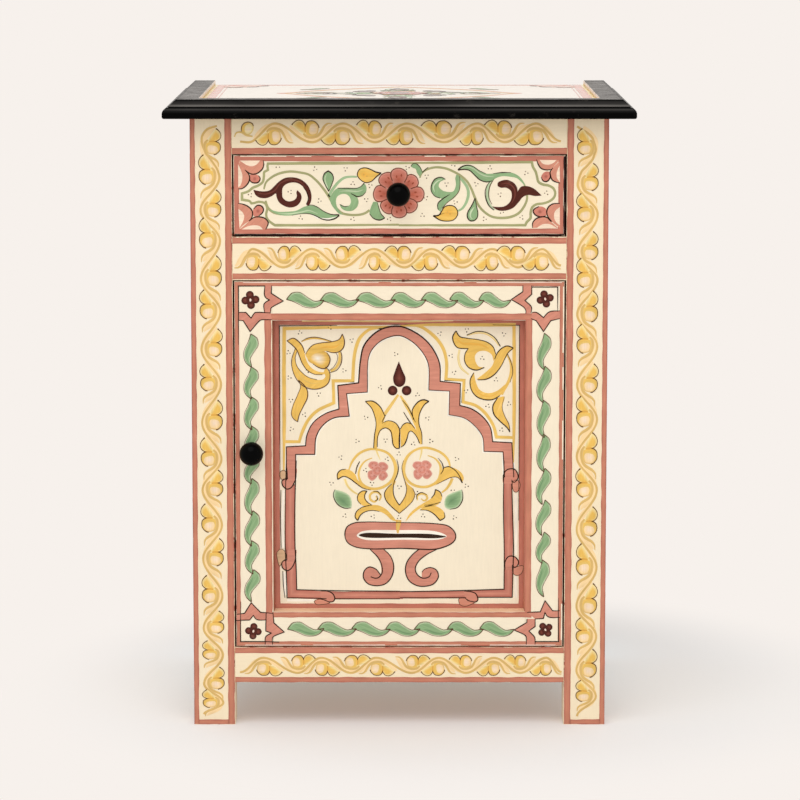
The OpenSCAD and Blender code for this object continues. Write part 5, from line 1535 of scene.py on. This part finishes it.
# Scrolls at the sides, front and back, then the flower
topSizes = {"across": 0.74, "along": 0.66, "flower": 1.12}
middleZ = (drawerLow + drawerHigh) / 2
across, along, grow = topSizes["across"], topSizes["along"], topSizes["flower"]
flowerPlace = (-heart.x * grow, topMiddle - heart.y * grow)
sheets = [topArt, placed(drawerArt, (across, 0), (0, across), (0, topMiddle - middleZ * across)),
          placed(drawerArt, (0, along), (-along, 0), (middleZ * along, topMiddle)),
          placed(flower, (grow, 0), (0, grow), flowerPlace, 6)]
peachFlower = quarterFlower("peach", "peachPale", 1.6)
maroonFlower = quarterFlower("maroon", "maroonPale", 0.8)
# Pointed oval round the middle, like the one that shows in the photo
oval = newSheet()
arc = marks(244, 0, 214, 26, 186, 72, 140, 124, 84, 168, 36, 204, 0, 232)
for x, y in ((1, 1), (-1, 1), (1, -1), (-1, -1)):
    for size, wide, paint, edge in ((1, 3.4, "petalPale", "petal"), (0.94, 1.2, "stem", "stem")):
        line = [(x * a * size, y * b * size + topMiddle) for a, b in arc]
        band(oval, line, [wide * 0.4, wide, wide, wide * 0.4], paint, 2 + size, edge)
sheets.append(oval)
for x, y in ((-1, 1), (1, 1), (-1, -1), (1, -1)):
    corner = (x * (topRight - 15), topMiddle + y * (topBack - topMiddle - 15))
    sheets += [placed(peachFlower, (-x, 0), (0, -y), corner),
               placed(maroonFlower, (x, 0), (0, y), (x * 26, topMiddle + y * 26)),
               placed(leafSheet, (0.8 * x, -0.5), (0.5 * x, 0.8), (x * 86, topMiddle + y * 74))]
core = newSheet()
ring = [heart + aim(t * 0.4488) * 8 for t in range(14)]
blob(core, ring, "maroon", 6.5, centre=heart, heart="maroonPale", rings=(0, 0.5), edge="maroonDeep")
sheets.append(placed(core, (grow, 0), (0, grow), flowerPlace, 7))
makePiece("topOrnament", "carcass", *[(sheet, "top") for sheet in sheets], material=topMaterial)
print("Top painted")


# Floor, backdrop, light and camera
stageSizes = {
    "cameraPlace": (0.0006, -3.5975, 0.815), "cameraDip": 8.165, "lens": 162.72,
    "backdrop": linear(247, 241, 236), "floor": linear(243, 241, 240), "floorRadius": 60.0,
    "shadowMiddle": (0.055, 0.045, 0.0), "shadowReach": (2.6, 2.4, 1.0), "fadeFrom": 0.68,
    "fadeTo": 1.2, "haze": 0.2, "worldTint": (0.965, 0.985, 1, 1), "worldStrength": 0.75,
    "underFront": (-0.12, 0.12), "underBack": (0.17, 0.34), "underSide": (0.14, 0.3),
    "underTint": (0.3, 0.76, 1, 1), "underGlow": 0.13,
    "keyPlace": (-0.35, -1.9, 2.95), "keyAim": (0.0, 0.0, 0.25), "keySize": 2.9, "keyPower": 39.0,
    "keyTint": (1.0, 0.985, 0.965), "sensor": 36, "farEnd": 200,
}


def makeFloor():
    material, shader, place = newMaterial("paleFloor")
    aside = vectors("MULTIPLY", vectors("SUBTRACT", place, stageSizes["shadowMiddle"]),
                    stageSizes["shadowReach"])
    far = fade(vectors("LENGTH", aside, output="Value"), stageSizes["fadeFrom"], stageSizes["fadeTo"],
               stageSizes["haze"])
    tree = shader.id_data
    glow = addNode(tree, "ShaderNodeEmission", {"Color": stageSizes["backdrop"], "Strength": 1.0})
    mixed = madeFrom("ShaderNodeMixShader", {0: far, 1: shader.outputs[0], 2: glow.outputs[0]})
    tree.links.new(mixed[0], tree.nodes["Material Output"].inputs["Surface"])
    # A bluish glow painted into the floor under the cabinet: painted light that lifts and cools the shadow
    # there, which the bare wood overhead warms. The bare wood overhead warms the shadow; the photo's is
    # grey
    x, y = axesOf(place)[:2]
    under = times(fade(y, *stageSizes["underFront"], 0.0, stageSizes["underGlow"]),
                  fade(y, *stageSizes["underBack"], 1.0, 0.0))
    under = times(under, fade(calc("ABSOLUTE", x), *stageSizes["underSide"], 1.0, 0.0))
    feed(shader, {"Base Color": stageSizes["floor"], "Roughness": 0.9, "Specular IOR Level": 0.1,
                  "Emission Color": stageSizes["underTint"], "Emission Strength": under})
    mesh = bpy.data.meshes.new("floor")
    ring = circle((0, 0), stageSizes["floorRadius"], 48, math.pi / 24)
    mesh.from_pydata([(x, y, 0) for x, y in ring], [], [tuple(range(48))])
    mesh.materials.append(material)
    newObject("floor", mesh)


def makeLight():
    world = bpy.data.worlds.new("studio")
    scene.world = world
    world.use_nodes = True
    tree = world.node_tree
    tree.nodes.clear()
    path = tree.nodes.new("ShaderNodeLightPath").outputs
    seen = calc("MAXIMUM", path["Is Camera Ray"],
                calc("MAXIMUM", path["Is Glossy Ray"], path["Is Transmission Ray"]))
    soft, shown = [addNode(tree, "ShaderNodeBackground", {"Color": colour, "Strength": strength}).outputs[0]
                   for colour, strength in ((stageSizes["worldTint"], stageSizes["worldStrength"]),
                                            (stageSizes["backdrop"], 1.0))]
    mixed = madeFrom("ShaderNodeMixShader", {0: seen, 1: soft, 2: shown})
    out = tree.nodes.new("ShaderNodeOutputWorld")
    tree.links.new(mixed[0], out.inputs["Surface"])
    lamp = bpy.data.lights.new("softKey", "AREA")
    lamp.shape = "DISK"
    lamp.size = stageSizes["keySize"]
    lamp.energy = stageSizes["keyPower"]
    lamp.color = stageSizes["keyTint"]
    key = newObject("softKey", lamp)
    key.location = stageSizes["keyPlace"]
    aim = Vector(stageSizes["keyAim"]) - key.location
    key.rotation_euler = aim.to_track_quat("-Z", "Y").to_euler()


def makeCamera():
    lens = bpy.data.cameras.new("camera")
    lens.lens = stageSizes["lens"]
    lens.sensor_width = stageSizes["sensor"]
    lens.clip_end = stageSizes["farEnd"]
    camera = newObject("camera", lens)
    camera.location = stageSizes["cameraPlace"]
    camera.rotation_euler = (math.radians(90 - stageSizes["cameraDip"]), 0, 0)
    scene.camera = camera


makeFloor()
makeLight()
makeCamera()
scene.view_settings.view_transform = "Standard"
print("Stage set")

bpy.context.view_layer.update()
